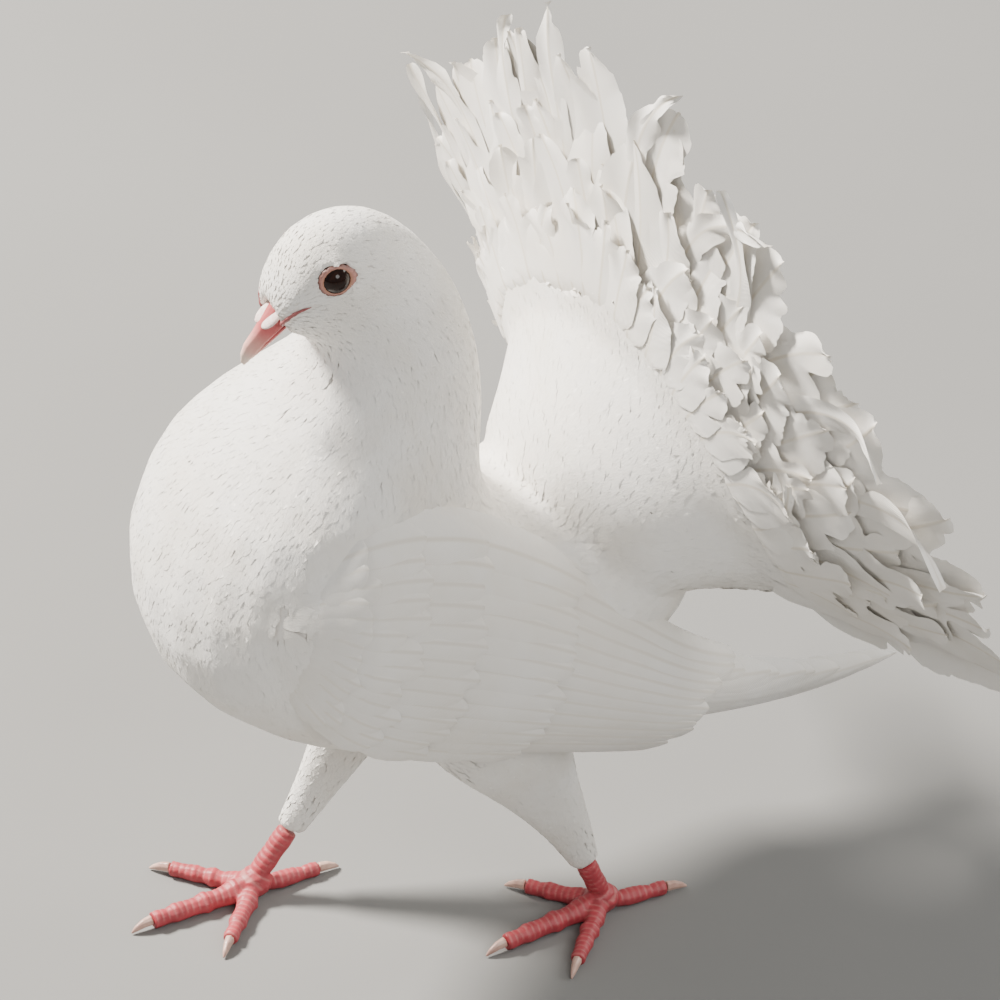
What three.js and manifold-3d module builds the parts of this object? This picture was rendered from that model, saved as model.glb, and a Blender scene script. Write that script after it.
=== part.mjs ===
// Fantail pigeon, life size, standing with one foot forward. Millimetres, +Z up.
// The bird faces -Y and its left side is +X. It is modelled about the floor point between its feet,
// and the whole group is then moved so that its box stands on the origin.
import * as THREE from "three";
import { mergeVertices } from "three/addons/utils/BufferGeometryUtils.js";
import Module from "manifold-3d";

const wasm = await Module();
wasm.setup();

// Driving sizes
const GAP = 0.3;
const VANE_THICKNESS = 0.7;
const BODY_SIDES = 24;
const TORSO_STEPS = 18;
const HEAD_TURN = THREE.MathUtils.degToRad(6);
const EYE_RADIUS = 5.2;
const EYE_CENTRE = new THREE.Vector3(8.7, -33.2, 232.2);
const LID_RADIUS = 3.9;
const BILL_LENGTH = 22.5;
const GAPE = new THREE.Vector3(0, -40, 221.7);
const BILL_PITCH = THREE.MathUtils.degToRad(40);
const TAIL_CENTRE = new THREE.Vector3(0, 52, 120);
const TAIL_RADIUS = 139;
const TAIL_SPREAD = THREE.MathUtils.degToRad(96);
const TAIL_LEAN = THREE.MathUtils.degToRad(7);
const TAIL_SWEEP = THREE.MathUtils.degToRad(31);
const TAIL_TURN = THREE.MathUtils.degToRad(9);
const TAIL_BEND = 7;
const TAIL_CUP = 3;
const TAIL_FLOP = 0.25;
const RUMP_RADIUS = 34;
const TAIL_SOCKET = 46;
const VANE_ROOT = 50;
const TAIL_ROOT_RADIUS = 60;
const WING_LENGTH = 215;
const WING_BODY_END = 0.62;
const WING_ROOT_SUNK = 1.5;
const VANE_LIFT = 0.9;
const WING_VANE = 0.6;
const LEFT_FOOT = new THREE.Vector3(24, 44, 0);
const RIGHT_FOOT = new THREE.Vector3(-25, -43, 0);

const white = { roughness: 0.7, metalness: 0 };
const plumage = () => new THREE.MeshStandardMaterial({ color: 0xf4f1e9, ...white });
const feather = () => new THREE.MeshStandardMaterial({ color: 0xf8f5ee, ...white, side: THREE.DoubleSide });
const horn = () => new THREE.MeshStandardMaterial({ color: 0xd9938a, roughness: 0.45, metalness: 0 });
const cereSkin = () => new THREE.MeshStandardMaterial({ color: 0xf0e2da, roughness: 0.8, metalness: 0 });
const redSkin = () => new THREE.MeshStandardMaterial({ color: 0xb8323f, roughness: 0.5, metalness: 0 });
const clawHorn = () => new THREE.MeshStandardMaterial({ color: 0xe3b9a6, roughness: 0.4, metalness: 0 });
const eyeGloss = () => new THREE.MeshStandardMaterial({ color: 0x1c0d08, roughness: 0.08, metalness: 0 });

// Solids

function geometryOf(points, triangles) {
  const geometry = new THREE.BufferGeometry();
  geometry.setAttribute("position", new THREE.Float32BufferAttribute(points.flatMap((p) => p.toArray()), 3));
  geometry.setIndex(triangles.flat());
  return geometry;
}

// A closed mesh geometry as a manifold solid, turned to face out.
function solid(geometry) {
  const bare = geometry.clone();
  bare.deleteAttribute("normal");
  bare.deleteAttribute("uv");
  const merged = mergeVertices(bare, 1e-4);
  const make = (triVerts) =>
    new wasm.Manifold(
      new wasm.Mesh({ numProp: 3, vertProperties: merged.attributes.position.array, triVerts }),
    );
  const index = new Uint32Array(merged.index.array);
  const made = make(index);
  if (made.volume() > 0) return made;
  for (let i = 0; i < index.length; i += 3) [index[i + 1], index[i + 2]] = [index[i + 2], index[i + 1]];
  return make(index);
}

// The largest closed surface of a solid, as a mesh geometry.
function largest(made) {
  const bodies = made.decompose();
  return bodies.reduce((best, body) => (body.volume() > best.volume() ? body : best), bodies[0]);
}

function geometryFrom(made) {
  const mesh = largest(made).getMesh();
  const geometry = new THREE.BufferGeometry();
  const points = new Float32Array(mesh.numVert * 3);
  for (let i = 0; i < mesh.numVert; i++) {
    points.set(mesh.vertProperties.subarray(i * mesh.numProp, i * mesh.numProp + 3), i * 3);
  }
  geometry.setAttribute("position", new THREE.BufferAttribute(points, 3));
  geometry.setIndex(new THREE.BufferAttribute(new Uint32Array(mesh.triVerts), 1));
  return geometry;
}

// A closed solid through rings of the same number of points, with a flat cap at each end.
function loft(rings) {
  const sides = rings[0].length;
  const points = rings.flat();
  const triangles = [];
  for (let i = 0; i + 1 < rings.length; i++) {
    for (let j = 0; j < sides; j++) {
      const a = i * sides + j;
      const b = i * sides + ((j + 1) % sides);
      triangles.push([a, b, b + sides], [a, b + sides, a + sides]);
    }
  }
  for (const [ring, turned] of [[0, true], [rings.length - 1, false]]) {
    const centre = points.length;
    const middle = new THREE.Vector3();
    rings[ring].forEach((p) => middle.addScaledVector(p, 1 / sides));
    points.push(middle);
    for (let j = 0; j < sides; j++) {
      const a = ring * sides + j;
      const b = ring * sides + ((j + 1) % sides);
      triangles.push(turned ? [b, a, centre] : [a, b, centre]);
    }
  }
  return solid(geometryOf(points, triangles));
}

function union(solids) {
  return wasm.Manifold.union(solids);
}

const UPRIGHT = new THREE.Vector3(0, 0, 1);
const unit = (x, y, z) => new THREE.Vector3(x, y, z).normalize();
const mix = (a, b, t) => a + (b - a) * t;
const smooth = (t) => {
  const c = Math.min(1, Math.max(0, t));
  return c * c * (3 - 2 * c);
};

// A value read smoothly from a short list of [place, value] pairs.
function profile(pairs, at) {
  let i = 1;
  while (i < pairs.length - 1 && at > pairs[i][0]) i++;
  const [x0, y0] = pairs[i - 1];
  const [x1, y1] = pairs[i];
  const share = Math.min(1, Math.max(0, (at - x0) / (x1 - x0)));
  return mix(y0, y1, (smooth(share) + share) / 2);
}

// The body's outline in the middle plane, from the tail root forward and up to the face. Each station has a
// point of the back, a point of the belly, the half width, and how much the section narrows towards the back.
const STATIONS = [
  { back: [73, 124], belly: [75, 110], half: 10, taper: 0 },
  { back: [67, 137], belly: [68, 94], half: 31, taper: 0 },
  { back: [52, 140.5], belly: [48, 80], half: 40, taper: 0 },
  { back: [38, 138.5], belly: [22, 71], half: 45, taper: 0 },
  { back: [26, 139.5], belly: [-8, 69], half: 47.5, taper: 0.02 },
  { back: [18.5, 144], belly: [-38.5, 78], half: 48, taper: 0.08 },
  { back: [15, 151], belly: [-63, 92.5], half: 48, taper: 0.18 },
  { back: [14.5, 159], belly: [-80.5, 112], half: 47, taper: 0.28 },
  { back: [15.5, 168], belly: [-83.5, 138], half: 44.5, taper: 0.34 },
  { back: [16, 177], belly: [-74.5, 162], half: 40, taper: 0.34 },
  { back: [15.5, 186], belly: [-59, 179], half: 31.5, taper: 0.26 },
  { back: [14, 195], belly: [-45, 190.5], half: 25, taper: 0.14 },
  { back: [11.5, 204.5], belly: [-38, 198], half: 20.5, taper: 0.06 },
  { back: [7.5, 215], belly: [-35.5, 203.5], half: 17, taper: 0 },
  { back: [1, 226], belly: [-36, 207], half: 15, taper: 0 },
  { back: [-8, 237], belly: [-37.5, 209], half: 14.2, taper: 0 },
  { back: [-19, 244.2], belly: [-40, 211], half: 13.8, taper: 0 },
  { back: [-30.5, 245.4], belly: [-43, 213], half: 12.8, taper: 0 },
  { back: [-40.5, 240.5], belly: [-46, 215], half: 10.6, taper: 0 },
  { back: [-46.6, 232], belly: [-48.4, 217.2], half: 7.6, taper: 0 },
  { back: [-49, 226], belly: [-49.4, 219.5], half: 4, taper: 0 },
];
const backLine = new THREE.CatmullRomCurve3(STATIONS.map((s) => new THREE.Vector3(0, ...s.back)));
const bellyLine = new THREE.CatmullRomCurve3(STATIONS.map((s) => new THREE.Vector3(0, ...s.belly)));
const widthLine = new THREE.CatmullRomCurve3(STATIONS.map((s) => new THREE.Vector3(s.half, s.taper, 0)));
const NECK_START = 9.6 / 20;
const HEAD_START = 13.3 / 20;

// The neck turns the head to the bird's left about an upright line through the neck.
function turned(point, at) {
  const angle = HEAD_TURN * smooth((at - NECK_START) / (HEAD_START - NECK_START));
  return point.clone().applyAxisAngle(UPRIGHT, angle);
}

// One section of the body at a share of the way from tail root to face, grown outwards by an amount.
function bodyRing(at, grow = 0, sides = BODY_SIDES) {
  const back = backLine.getPoint(at);
  const belly = bellyLine.getPoint(at);
  const width = widthLine.getPoint(at);
  const axis = back.clone().sub(belly);
  const half = axis.length() / 2 + grow;
  axis.normalize();
  const middle = back.add(belly).multiplyScalar(0.5);
  return Array.from({ length: sides }, (_, j) => {
    const angle = (2 * Math.PI * j) / sides;
    const side = (width.x + grow) * Math.sin(angle) * (1 - width.y * Math.cos(angle));
    const point = middle.clone().addScaledVector(axis, half * Math.cos(angle));
    point.x = side;
    return turned(point, at);
  });
}

function bodyPiece(from, to, steps, grow = 0) {
  return loft(Array.from({ length: steps + 1 }, (_, i) => bodyRing(mix(from, to, i / steps), grow)));
}

// A tube of oval sections along a path. Each has two radii: along the cross direction, and square to it.
function tube(path, radii, sides, cross = unit(1, 0, 0)) {
  return loft(
    path.map((centre, i) => {
      const ahead = path[Math.min(i + 1, path.length - 1)].clone().sub(path[Math.max(i - 1, 0)]).normalize();
      const across = cross.clone().addScaledVector(ahead, -cross.dot(ahead)).normalize();
      const deep = ahead.clone().cross(across);
      return Array.from({ length: sides }, (_, j) => {
        const angle = (2 * Math.PI * (j + 0.5)) / sides;
        return centre
          .clone()
          .addScaledVector(across, radii[i][0] * Math.cos(angle))
          .addScaledVector(deep, radii[i][1] * Math.sin(angle));
      });
    }),
  );
}

function ball(centre, radius, across = 12, down = 8) {
  return solid(new THREE.SphereGeometry(radius, across, down).translate(...centre.toArray()));
}

// Head, eyes and bill

const headPoint = (x, y, z) => turned(new THREE.Vector3(x, y, z), 1);
const billForward = new THREE.Vector3(0, -Math.cos(BILL_PITCH), -Math.sin(BILL_PITCH));
const billUp = new THREE.Vector3(0, -Math.sin(BILL_PITCH), Math.cos(BILL_PITCH));

// A point of the bill: along it from the gape, above its closing line, and to the side.
function billPoint(along, above, side) {
  const p = GAPE.clone().addScaledVector(billForward, along).addScaledVector(billUp, above);
  return headPoint(side, p.y, p.z);
}

// Sections of a half of the bill: share of its length, half width, outer height, inner height.
const UPPER_BILL = [
  [-0.1, 4.4, 5.0, 0.2],
  [0.2, 4.3, 5.6, 0.2],
  [0.42, 3.5, 4.9, 0.2],
  [0.62, 2.7, 4.0, 0.1],
  [0.8, 2.2, 3.5, -0.2],
  [0.92, 1.5, 2.2, -0.7],
  [1.0, 0.5, 0.2, -1.3],
];
const LOWER_BILL = [
  [-0.1, 4.3, -2.6, -0.2],
  [0.2, 4.1, -3.0, -0.2],
  [0.45, 3.1, -2.6, -0.2],
  [0.7, 2.2, -2.2, -0.25],
  [0.88, 1.2, -1.6, -0.6],
];

function billHalf(sections, grow = 0) {
  const sides = 14;
  return loft(
    sections.map(([share, half, outer, inner]) =>
      Array.from({ length: sides }, (_, j) => {
        const angle = (2 * Math.PI * j) / sides;
        const reach = outer - inner;
        const lift = Math.cos(angle) * (Math.cos(angle) > 0 ? Math.abs(reach) + grow : grow);
        const side = (half + grow) * Math.sin(angle);
        return billPoint(share * BILL_LENGTH, inner + Math.sign(reach) * lift, side);
      }),
    ),
  );
}

function lidRing(sign) {
  const centre = eyeCentre(sign).add(eyeOutward(sign).multiplyScalar(LID_DEPTH));
  const ring = new THREE.TorusGeometry(LID_RADIUS + 0.4, 0.95, 5, 14);
  ring.applyQuaternion(new THREE.Quaternion().setFromUnitVectors(unit(0, 0, 1), eyeOutward(sign)));
  return solid(ring.translate(...centre.toArray()));
}

const LID_DEPTH = 3.3;
const eyeOutward = (sign) => turned(unit(sign, -0.2, 0.12), 1);
const eyeCentre = (sign) => headPoint(sign * EYE_CENTRE.x, EYE_CENTRE.y, EYE_CENTRE.z);
const eyeball = (sign, grow = 0) => ball(eyeCentre(sign), EYE_RADIUS + grow);

// The white, swollen skin at the root of the bill: two lobes that meet in the middle.
function cereSolid(grow = 0) {
  const lobes = [-1, 1].map((sign) => {
    const lobe = new THREE.SphereGeometry(1, 10, 7);
    lobe.scale(2.4 + grow, 3.9 + grow, 1.9 + grow);
    lobe.rotateX(BILL_PITCH);
    return solid(lobe.translate(...billPoint(0.34 * BILL_LENGTH, 5.0, sign * 1.7).toArray()));
  });
  return union(lobes);
}

// The line of the mouth behind the horn, and the slit of each nostril.
function mouthLine(sign) {
  const slot = new THREE.BoxGeometry(9, 10, 0.7);
  slot.rotateX(BILL_PITCH);
  return solid(slot.translate(...billPoint(0.1 * BILL_LENGTH, 0, sign * 8).toArray()));
}

function nostril(sign) {
  const slit = new THREE.BoxGeometry(2.2, 4.6, 0.7);
  slit.rotateX(BILL_PITCH - 0.25);
  return solid(slit.translate(...billPoint(0.46 * BILL_LENGTH, 2.9, sign * 3.6).toArray()));
}

function headSolid() {
  const skin = bodyPiece(HEAD_START + 0.0005, 1, 11);
  const cuts = [
    billHalf(UPPER_BILL, GAP),
    billHalf(LOWER_BILL, GAP),
    cereSolid(GAP),
    ...[-1, 1].flatMap((sign) => [eyeball(sign, GAP), mouthLine(sign)]),
  ];
  return union([skin, lidRing(-1), lidRing(1)]).subtract(union(cuts));
}

// Feathers

// One feather as a thin closed slab. The surface function gives the middle of the slab for a share of the
// length and a place across from -1 to 1. The section is a shallow roof, thick at the shaft.
function vane(surface, lengthSteps, thickness = VANE_THICKNESS, acrossSteps = 2) {
  const rows = lengthSteps + 1;
  const columns = acrossSteps + 1;
  const e = 1e-3;
  const faces = [1, -1].map((face) =>
    Array.from({ length: rows * columns }, (_, k) => {
      const along = Math.floor(k / columns) / lengthSteps;
      const across = ((k % columns) / acrossSteps) * 2 - 1;
      const p = surface(along, across);
      const du = surface(Math.min(1, along + e), across).sub(surface(Math.max(0, along - e), across));
      const dv = surface(along, Math.min(1, across + e)).sub(surface(along, Math.max(-1, across - e)));
      const normal = du.cross(dv).normalize();
      const half = (thickness / 2) * (1 - 0.25 * Math.abs(across));
      return p.addScaledVector(normal, face * half);
    }),
  );
  const lower = rows * columns;
  const triangles = [];
  for (let i = 0; i < lengthSteps; i++) {
    for (let j = 0; j < acrossSteps; j++) {
      const a = i * columns + j;
      const b = a + columns;
      triangles.push([a, b + 1, a + 1], [a, b, b + 1]);
      triangles.push([lower + a, lower + a + 1, lower + b + 1], [lower + a, lower + b + 1, lower + b]);
    }
  }
  const rim = [];
  for (let j = 0; j < columns; j++) rim.push(j);
  for (let i = 1; i < rows; i++) rim.push(i * columns + columns - 1);
  for (let j = columns - 2; j >= 0; j--) rim.push((rows - 1) * columns + j);
  for (let i = rows - 2; i > 0; i--) rim.push(i * columns);
  rim.forEach((a, k) => {
    const b = rim[(k + 1) % rim.length];
    triangles.push([a, b, lower + b], [a, lower + b, lower + a]);
  });
  return solid(geometryOf(faces.flat(), triangles));
}

// Half width of a feather at a share of its length: a narrow quill, a broad blade and a rounded tip.
function bladeWidth(along, widest, quill = 0.12) {
  const root = mix(0.16, 1, smooth((along - quill) / 0.34));
  const tip = Math.sqrt(Math.max(0.02, 1 - Math.max(0, (along - 0.78) / 0.22) ** 2.2));
  return widest * root * tip;
}

// Tail

// Direction of the tail at an angle from upright, positive to the bird's left. It leans back a little, and
// its sides sweep back more. The whole fan is turned a little, so that its left side goes further back.
function tailDirection(angle) {
  const share = Math.min(1, Math.abs(angle) / TAIL_SPREAD);
  const back = TAIL_LEAN + (TAIL_SWEEP - TAIL_LEAN) * share ** TAIL_CUP;
  const out = unit(Math.cos(back) * Math.sin(angle), Math.sin(back), Math.cos(back) * Math.cos(angle));
  return out.applyAxisAngle(UPRIGHT, TAIL_TURN);
}

// A point of the tail: distance from its centre, angle, and height in front of the tail's own surface, which
// bends forward towards the tips.
function tailPoint(radius, angle, front) {
  const out = tailDirection(angle);
  const side = tailDirection(angle + 0.01).sub(tailDirection(angle - 0.01)).normalize();
  const ahead = side.clone().cross(out).normalize();
  const beyond = Math.max(0, (radius - TAIL_ROOT_RADIUS) / (TAIL_RADIUS - TAIL_ROOT_RADIUS));
  const forward = front + TAIL_BEND * beyond ** 2;
  return TAIL_CENTRE.clone().addScaledVector(out, radius).addScaledVector(ahead, forward);
}

// Fronts and backs of the tail's root, as [radius, front, back] from the rump outwards.
const TAIL_SECTION = [
  [7, 18, -15],
  [20, 25.5, -13],
  [RUMP_RADIUS, 21.5, -10.5],
  [TAIL_SOCKET, 14, -7.5],
  [TAIL_ROOT_RADIUS, 6.4, -3.4],
];

function tailBlock(radii, fromAngle, toAngle, steps) {
  const front = TAIL_SECTION.map(([r, f]) => [r, f]);
  const rear = TAIL_SECTION.map(([r, , b]) => [r, b]);
  return loft(
    Array.from({ length: steps + 1 }, (_, i) => {
      const angle = mix(fromAngle, toAngle, i / steps);
      const edge = 1 - 0.55 * smooth((Math.abs(angle) / TAIL_SPREAD - 0.75) / 0.25);
      const fronts = radii.map((r) => tailPoint(r, angle, profile(front, r) * edge));
      const rears = radii.map((r) => tailPoint(r, angle, profile(rear, r) * edge)).reverse();
      return [...fronts, ...rears];
    }),
  );
}

// One feather of the tail. The blade is tilted about its shaft like a slat, so that each feather further
// from the middle goes behind its neighbour, a lift further back for each spacing.
function tailFeather({ angle, tipRadius, front, widest, lift, spacing, steps, flop }) {
  const slat = (lift / spacing) * Math.sign(Math.round(angle * 1000));
  return vane((along, across) => {
    const radius = mix(VANE_ROOT, tipRadius, along);
    const turn = (across * bladeWidth(along, widest, 0.06)) / radius;
    return tailPoint(radius, angle + turn, front + turn * slat + flop * along * along);
  }, steps);
}

const TAIL_PARTS = [
  { name: "tail_right", from: -1.04, to: -0.385 },
  { name: "tail_middle", from: -0.385, to: 0.385 },
  { name: "tail_left", from: 0.385, to: 1.04 },
];
const TAIL_TIERS = [
  { count: 23, tipRadius: TAIL_RADIUS, front: 0, widest: 15, lift: 1.2, steps: 4 },
  { count: 11, tipRadius: 113, front: 2.8, widest: 17, lift: 1.1, steps: 3 },
  { count: 10, tipRadius: 90, front: 5.6, widest: 16.5, lift: 1.1, steps: 3 },
  { count: 8, tipRadius: 94, front: -2.6, widest: 15, lift: 1.1, steps: 3 },
];

// How far the tail reaches at an angle, in degrees to the bird's left, as a share of its radius.
const TAIL_REACH = [[-96, 0.96], [-40, 0.99], [0, 1.04], [18, 0.97], [45, 0.93], [72, 1], [96, 0.97]];

// A repeatable draw between -1 and 1 for the k-th feather of a tier.
const draw = (seed) => 2 * (Math.abs(Math.sin(seed * 12.9898) * 43758.5453) % 1) - 1;

function tailFeathers(from, to) {
  return TAIL_TIERS.flatMap((tier, level) =>
    Array.from({ length: tier.count }, (_, k) => {
      const share = ((k + 0.5) / tier.count) * 2 - 1;
      if (share < from || share >= to) return [];
      const seed = level * 100 + k + 1;
      const reach = profile(TAIL_REACH, THREE.MathUtils.radToDeg(share * TAIL_SPREAD));
      return tailFeather({
        ...tier,
        angle: share * TAIL_SPREAD,
        tipRadius: tier.tipRadius * reach * (1 + 0.03 * draw(seed)),
        spacing: (2 * TAIL_SPREAD) / tier.count,
        flop: TAIL_FLOP * draw(seed + 50),
      });
    }).flat(),
  );
}

function tailPart({ name, from, to }) {
  const low = Math.max(-1, from) * TAIL_SPREAD;
  const high = Math.min(1, to) * TAIL_SPREAD;
  const shy = (GAP * 0.85) / TAIL_ROOT_RADIUS;
  const radii = [RUMP_RADIUS + GAP, TAIL_SOCKET, TAIL_ROOT_RADIUS];
  const root = tailBlock(radii, low + (from > -1 ? shy : 0), high - (to < 1 ? shy : 0), 6);
  const others = TAIL_PARTS.filter((part) => part.name !== name).map((part) => grownRoots[part.name]);
  return union([root, union(tailFeathers(from, to)).subtract(union(others))]).subtract(grownTorso);
}

// Wings

// Upper and lower edge of the folded wing on the bird's left, from the bend of the wing to its tip, and how
// far its middle swells out between them.
const WING_EDGES = [
  { low: [39, -67, 138], high: [37.5, -61, 152], swell: 5 },
  { low: [42.5, -61, 119], high: [36.5, -48, 165.5], swell: 10.5 },
  { low: [45, -47, 100], high: [37, -34, 171.5], swell: 16.5 },
  { low: [46, -24, 87.5], high: [33, -5, 164], swell: 18.5 },
  { low: [47, 4, 79.5], high: [31, 20, 146], swell: 18 },
  { low: [47, 34, 71.5], high: [35, 44, 123], swell: 14 },
  { low: [45, 66, 63.5], high: [39, 69, 100], swell: 8 },
  { low: [40, 101, 58.5], high: [38.5, 104, 86], swell: 4 },
  { low: [34, 139, 61], high: [34, 140, 71], swell: 0.5 },
];
const WING_LOW = new THREE.CatmullRomCurve3(WING_EDGES.map((e) => new THREE.Vector3(...e.low)));
const WING_HIGH = new THREE.CatmullRomCurve3(WING_EDGES.map((e) => new THREE.Vector3(...e.high)));
const WING_SWELL = new THREE.CatmullRomCurve3(WING_EDGES.map((e) => new THREE.Vector3(e.swell, 0, 0)));

function wingSurface(along, across) {
  const at = Math.min(1, Math.max(0, along));
  const point = WING_LOW.getPoint(at).lerp(WING_HIGH.getPoint(at), (across + 1) / 2);
  point.x += WING_SWELL.getPoint(at).x * (1 - across * across);
  return point.addScaledVector(WING_LOW.getTangent(at), (along - at) * WING_LENGTH);
}

const wingHeight = (along) => WING_LOW.getPoint(along).distanceTo(WING_HIGH.getPoint(along)) / 2;

// A point of the folded wing: share of its length, place across from -1 (lower edge) to 1, and depth
// towards the body. The wing is made for the left and mirrored for the right.
function wingPoint(sign, along, across, depth) {
  const e = 0.01;
  const at = Math.min(1 - 1.5 * e, Math.max(1.5 * e, along));
  const ahead = wingSurface(at + e, across).sub(wingSurface(at - e, across));
  const upward = wingSurface(at, across + e).sub(wingSurface(at, across - e));
  const inward = ahead.cross(upward).normalize();
  if (inward.x > 0) inward.negate();
  const point = wingSurface(along, across).addScaledVector(inward, depth);
  point.x *= sign;
  return point;
}

// The wing's body by share of its length: its thickness, and how deep it lies under the feathers. Its front
// has only small feathers, and is smooth.
const WING_THICKNESS = [[0, 7], [0.3, 12], [0.55, 10], [WING_BODY_END, 6]];
const WING_BODY_DEPTH = [[0, 0], [0.13, 0], [0.36, 3.6], [1, 4]];

function wingBody(sign) {
  const rings = 9;
  const columns = 6;
  return loft(
    Array.from({ length: rings + 1 }, (_, i) => {
      const along = mix(0, WING_BODY_END, i / rings);
      const reach = 0.97 * Math.sqrt(Math.min(1, 0.3 + (4 * i) / rings));
      const depth = profile(WING_BODY_DEPTH, along);
      const outer = Array.from({ length: columns + 1 }, (_, j) =>
        wingPoint(sign, along, mix(-reach, reach, j / columns), depth),
      );
      const inner = Array.from({ length: columns - 1 }, (_, j) => {
        const across = mix(reach, -reach, (j + 1) / columns);
        const thick = profile(WING_THICKNESS, along) * Math.sqrt(1.02 - (across / reach) ** 2);
        return wingPoint(sign, along, across, depth + thick + GAP);
      });
      return [...outer, ...inner];
    }),
  );
}

// One feather lying on the wing. Its root and tip are given as [along, across], and it rises from inside the
// wing's body to lie at its own depth. Its half width is a share of the wing's half height, and its upper
// edge goes under the feather above it.
function wingFeather(sign, { root, tip, half, depth, flat, slat, steps }) {
  return vane((along, across) => {
    const u = mix(root[0], tip[0], along);
    const v = mix(root[1], tip[1], along);
    const side = across * bladeWidth(along, half, 0.03);
    const sunk = flat ? depth : profile(WING_BODY_DEPTH, u) + WING_ROOT_SUNK;
    const laid = mix(sunk, depth, smooth(along / 0.45)) + side * slat;
    return wingPoint(sign, u, v + side, laid);
  }, steps, WING_VANE);
}

// Tiers of the folded wing, outermost last. Each goes from the lower edge of the wing to its upper edge.
const WING_TIERS = [
  { part: "primaries", count: 5, root: [[0.5, -0.2], [0.47, 0.3]], tip: [[1, 0], [0.86, 0.4]],
    half: 0.8, depth: [8.6, 4.6], flat: true, steps: 4 },
  { part: "secondaries", count: 5, root: [[0.38, -0.72], [0.33, 0.72]], tip: [[0.72, -0.76], [0.75, 0.72]],
    half: 0.29, depth: [2.7, 2.7], steps: 3 },
  { part: "greater coverts", count: 5, root: [[0.24, -0.74], [0.2, 0.74]], tip: [[0.53, -0.78], [0.55, 0.74]],
    half: 0.29, depth: [1, 1], steps: 3 },
  { part: "median coverts", count: 4, root: [[0.11, -0.7], [0.09, 0.7]], tip: [[0.34, -0.76], [0.36, 0.72]],
    half: 0.34, depth: [-0.7, -0.7], steps: 3 },
];

function wingFeathers(sign) {
  return WING_TIERS.flatMap((tier, level) => {
    const spacing = (tier.tip[1][1] - tier.tip[0][1]) / (tier.count - 1);
    return Array.from({ length: tier.count }, (_, k) => {
      const share = k / (tier.count - 1);
      const pair = ([a, b]) => [mix(a[0], b[0], share), mix(a[1], b[1], share)];
      const tip = pair(tier.tip);
      tip[0] += tier.flat ? 0 : 0.006 * draw(level * 40 + k + 7);
      const slat = tier.flat ? 0 : VANE_LIFT / spacing;
      const depth = mix(...tier.depth, share);
      return wingFeather(sign, { ...tier, root: pair(tier.root), tip, depth, slat });
    });
  });
}

function wingSolid(sign) {
  const leg = sign > 0 ? grownLegs.left : grownLegs.right;
  const rest = union([grownTorso, grownRump, leg, ...TAIL_PARTS.map((part) => grownRoots[part.name])]);
  return union([wingBody(sign), ...wingFeathers(sign)]).subtract(rest);
}

// Legs and feet

// Feathered leg from inside the belly down over the hock, as [x, y, z, half width, half depth].
const LEGS = {
  left: [[27, 4, 92, 19, 24], [26, 14, 72, 15, 19], [25, 22, 56, 10.5, 13], [24.5, 29, 42, 7.5, 9],
    [24.3, 34.5, 30, 5.6, 6.4], [24.2, 38.5, 19.5, 4.2, 4.6]],
  right: [[-27, 6, 92, 19, 24], [-26.5, -1, 72, 15, 19], [-26, -9, 56, 10.5, 13], [-25.5, -17, 42.5, 7.5, 9],
    [-25.2, -24.5, 31, 5.6, 6.4], [-25, -32, 20, 4.2, 4.6]],
};

function legTube(side, grow = 0) {
  const stations = LEGS[side];
  const line = new THREE.CatmullRomCurve3(stations.map(([x, y, z]) => new THREE.Vector3(x, y, z)));
  const sizes = new THREE.CatmullRomCurve3(stations.map(([, , , a, b]) => new THREE.Vector3(a, b, 0)));
  const shares = Array.from({ length: LEG_STEPS + 1 }, (_, i) => i / LEG_STEPS);
  const radii = shares.map((t) => sizes.getPoint(t).toArray().slice(0, 2).map((r) => r + grow));
  return tube(shares.map((t) => line.getPoint(t)), radii, 14);
}

// A toe on the floor: its path rises to the foot's middle, its sole is flat, and its top has scutes.
const TOES = {
  left: [
    { name: "inner", heading: -46, length: 23, radius: 3.2, joints: 3 },
    { name: "middle", heading: 9, length: 33, radius: 3.6, joints: 4 },
    { name: "outer", heading: 50, length: 27, radius: 3.2, joints: 4 },
    { name: "hind", heading: 178, length: 20, radius: 3.0, joints: 2 },
  ],
  right: [
    { name: "inner", heading: 50, length: 25, radius: 3.2, joints: 3 },
    { name: "middle", heading: 4, length: 33, radius: 3.6, joints: 4 },
    { name: "outer", heading: -45, length: 26, radius: 3.2, joints: 4 },
    { name: "hind", heading: 182, length: 20, radius: 3.0, joints: 2 },
  ],
};
const SCUTE_LENGTH = 5;
const SOLE_START = 0.16;
const FOOT_HEIGHT = 8;
const CLAW_LENGTH = 6.6;
const LEG_STEPS = 9;

// Heading 0 is straight ahead and a positive heading turns towards the bird's left.
function toeFrame(heading) {
  const angle = THREE.MathUtils.degToRad(heading);
  const ahead = new THREE.Vector3(Math.sin(angle), -Math.cos(angle), 0);
  return { ahead, across: new THREE.Vector3(-ahead.y, ahead.x, 0) };
}

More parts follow.
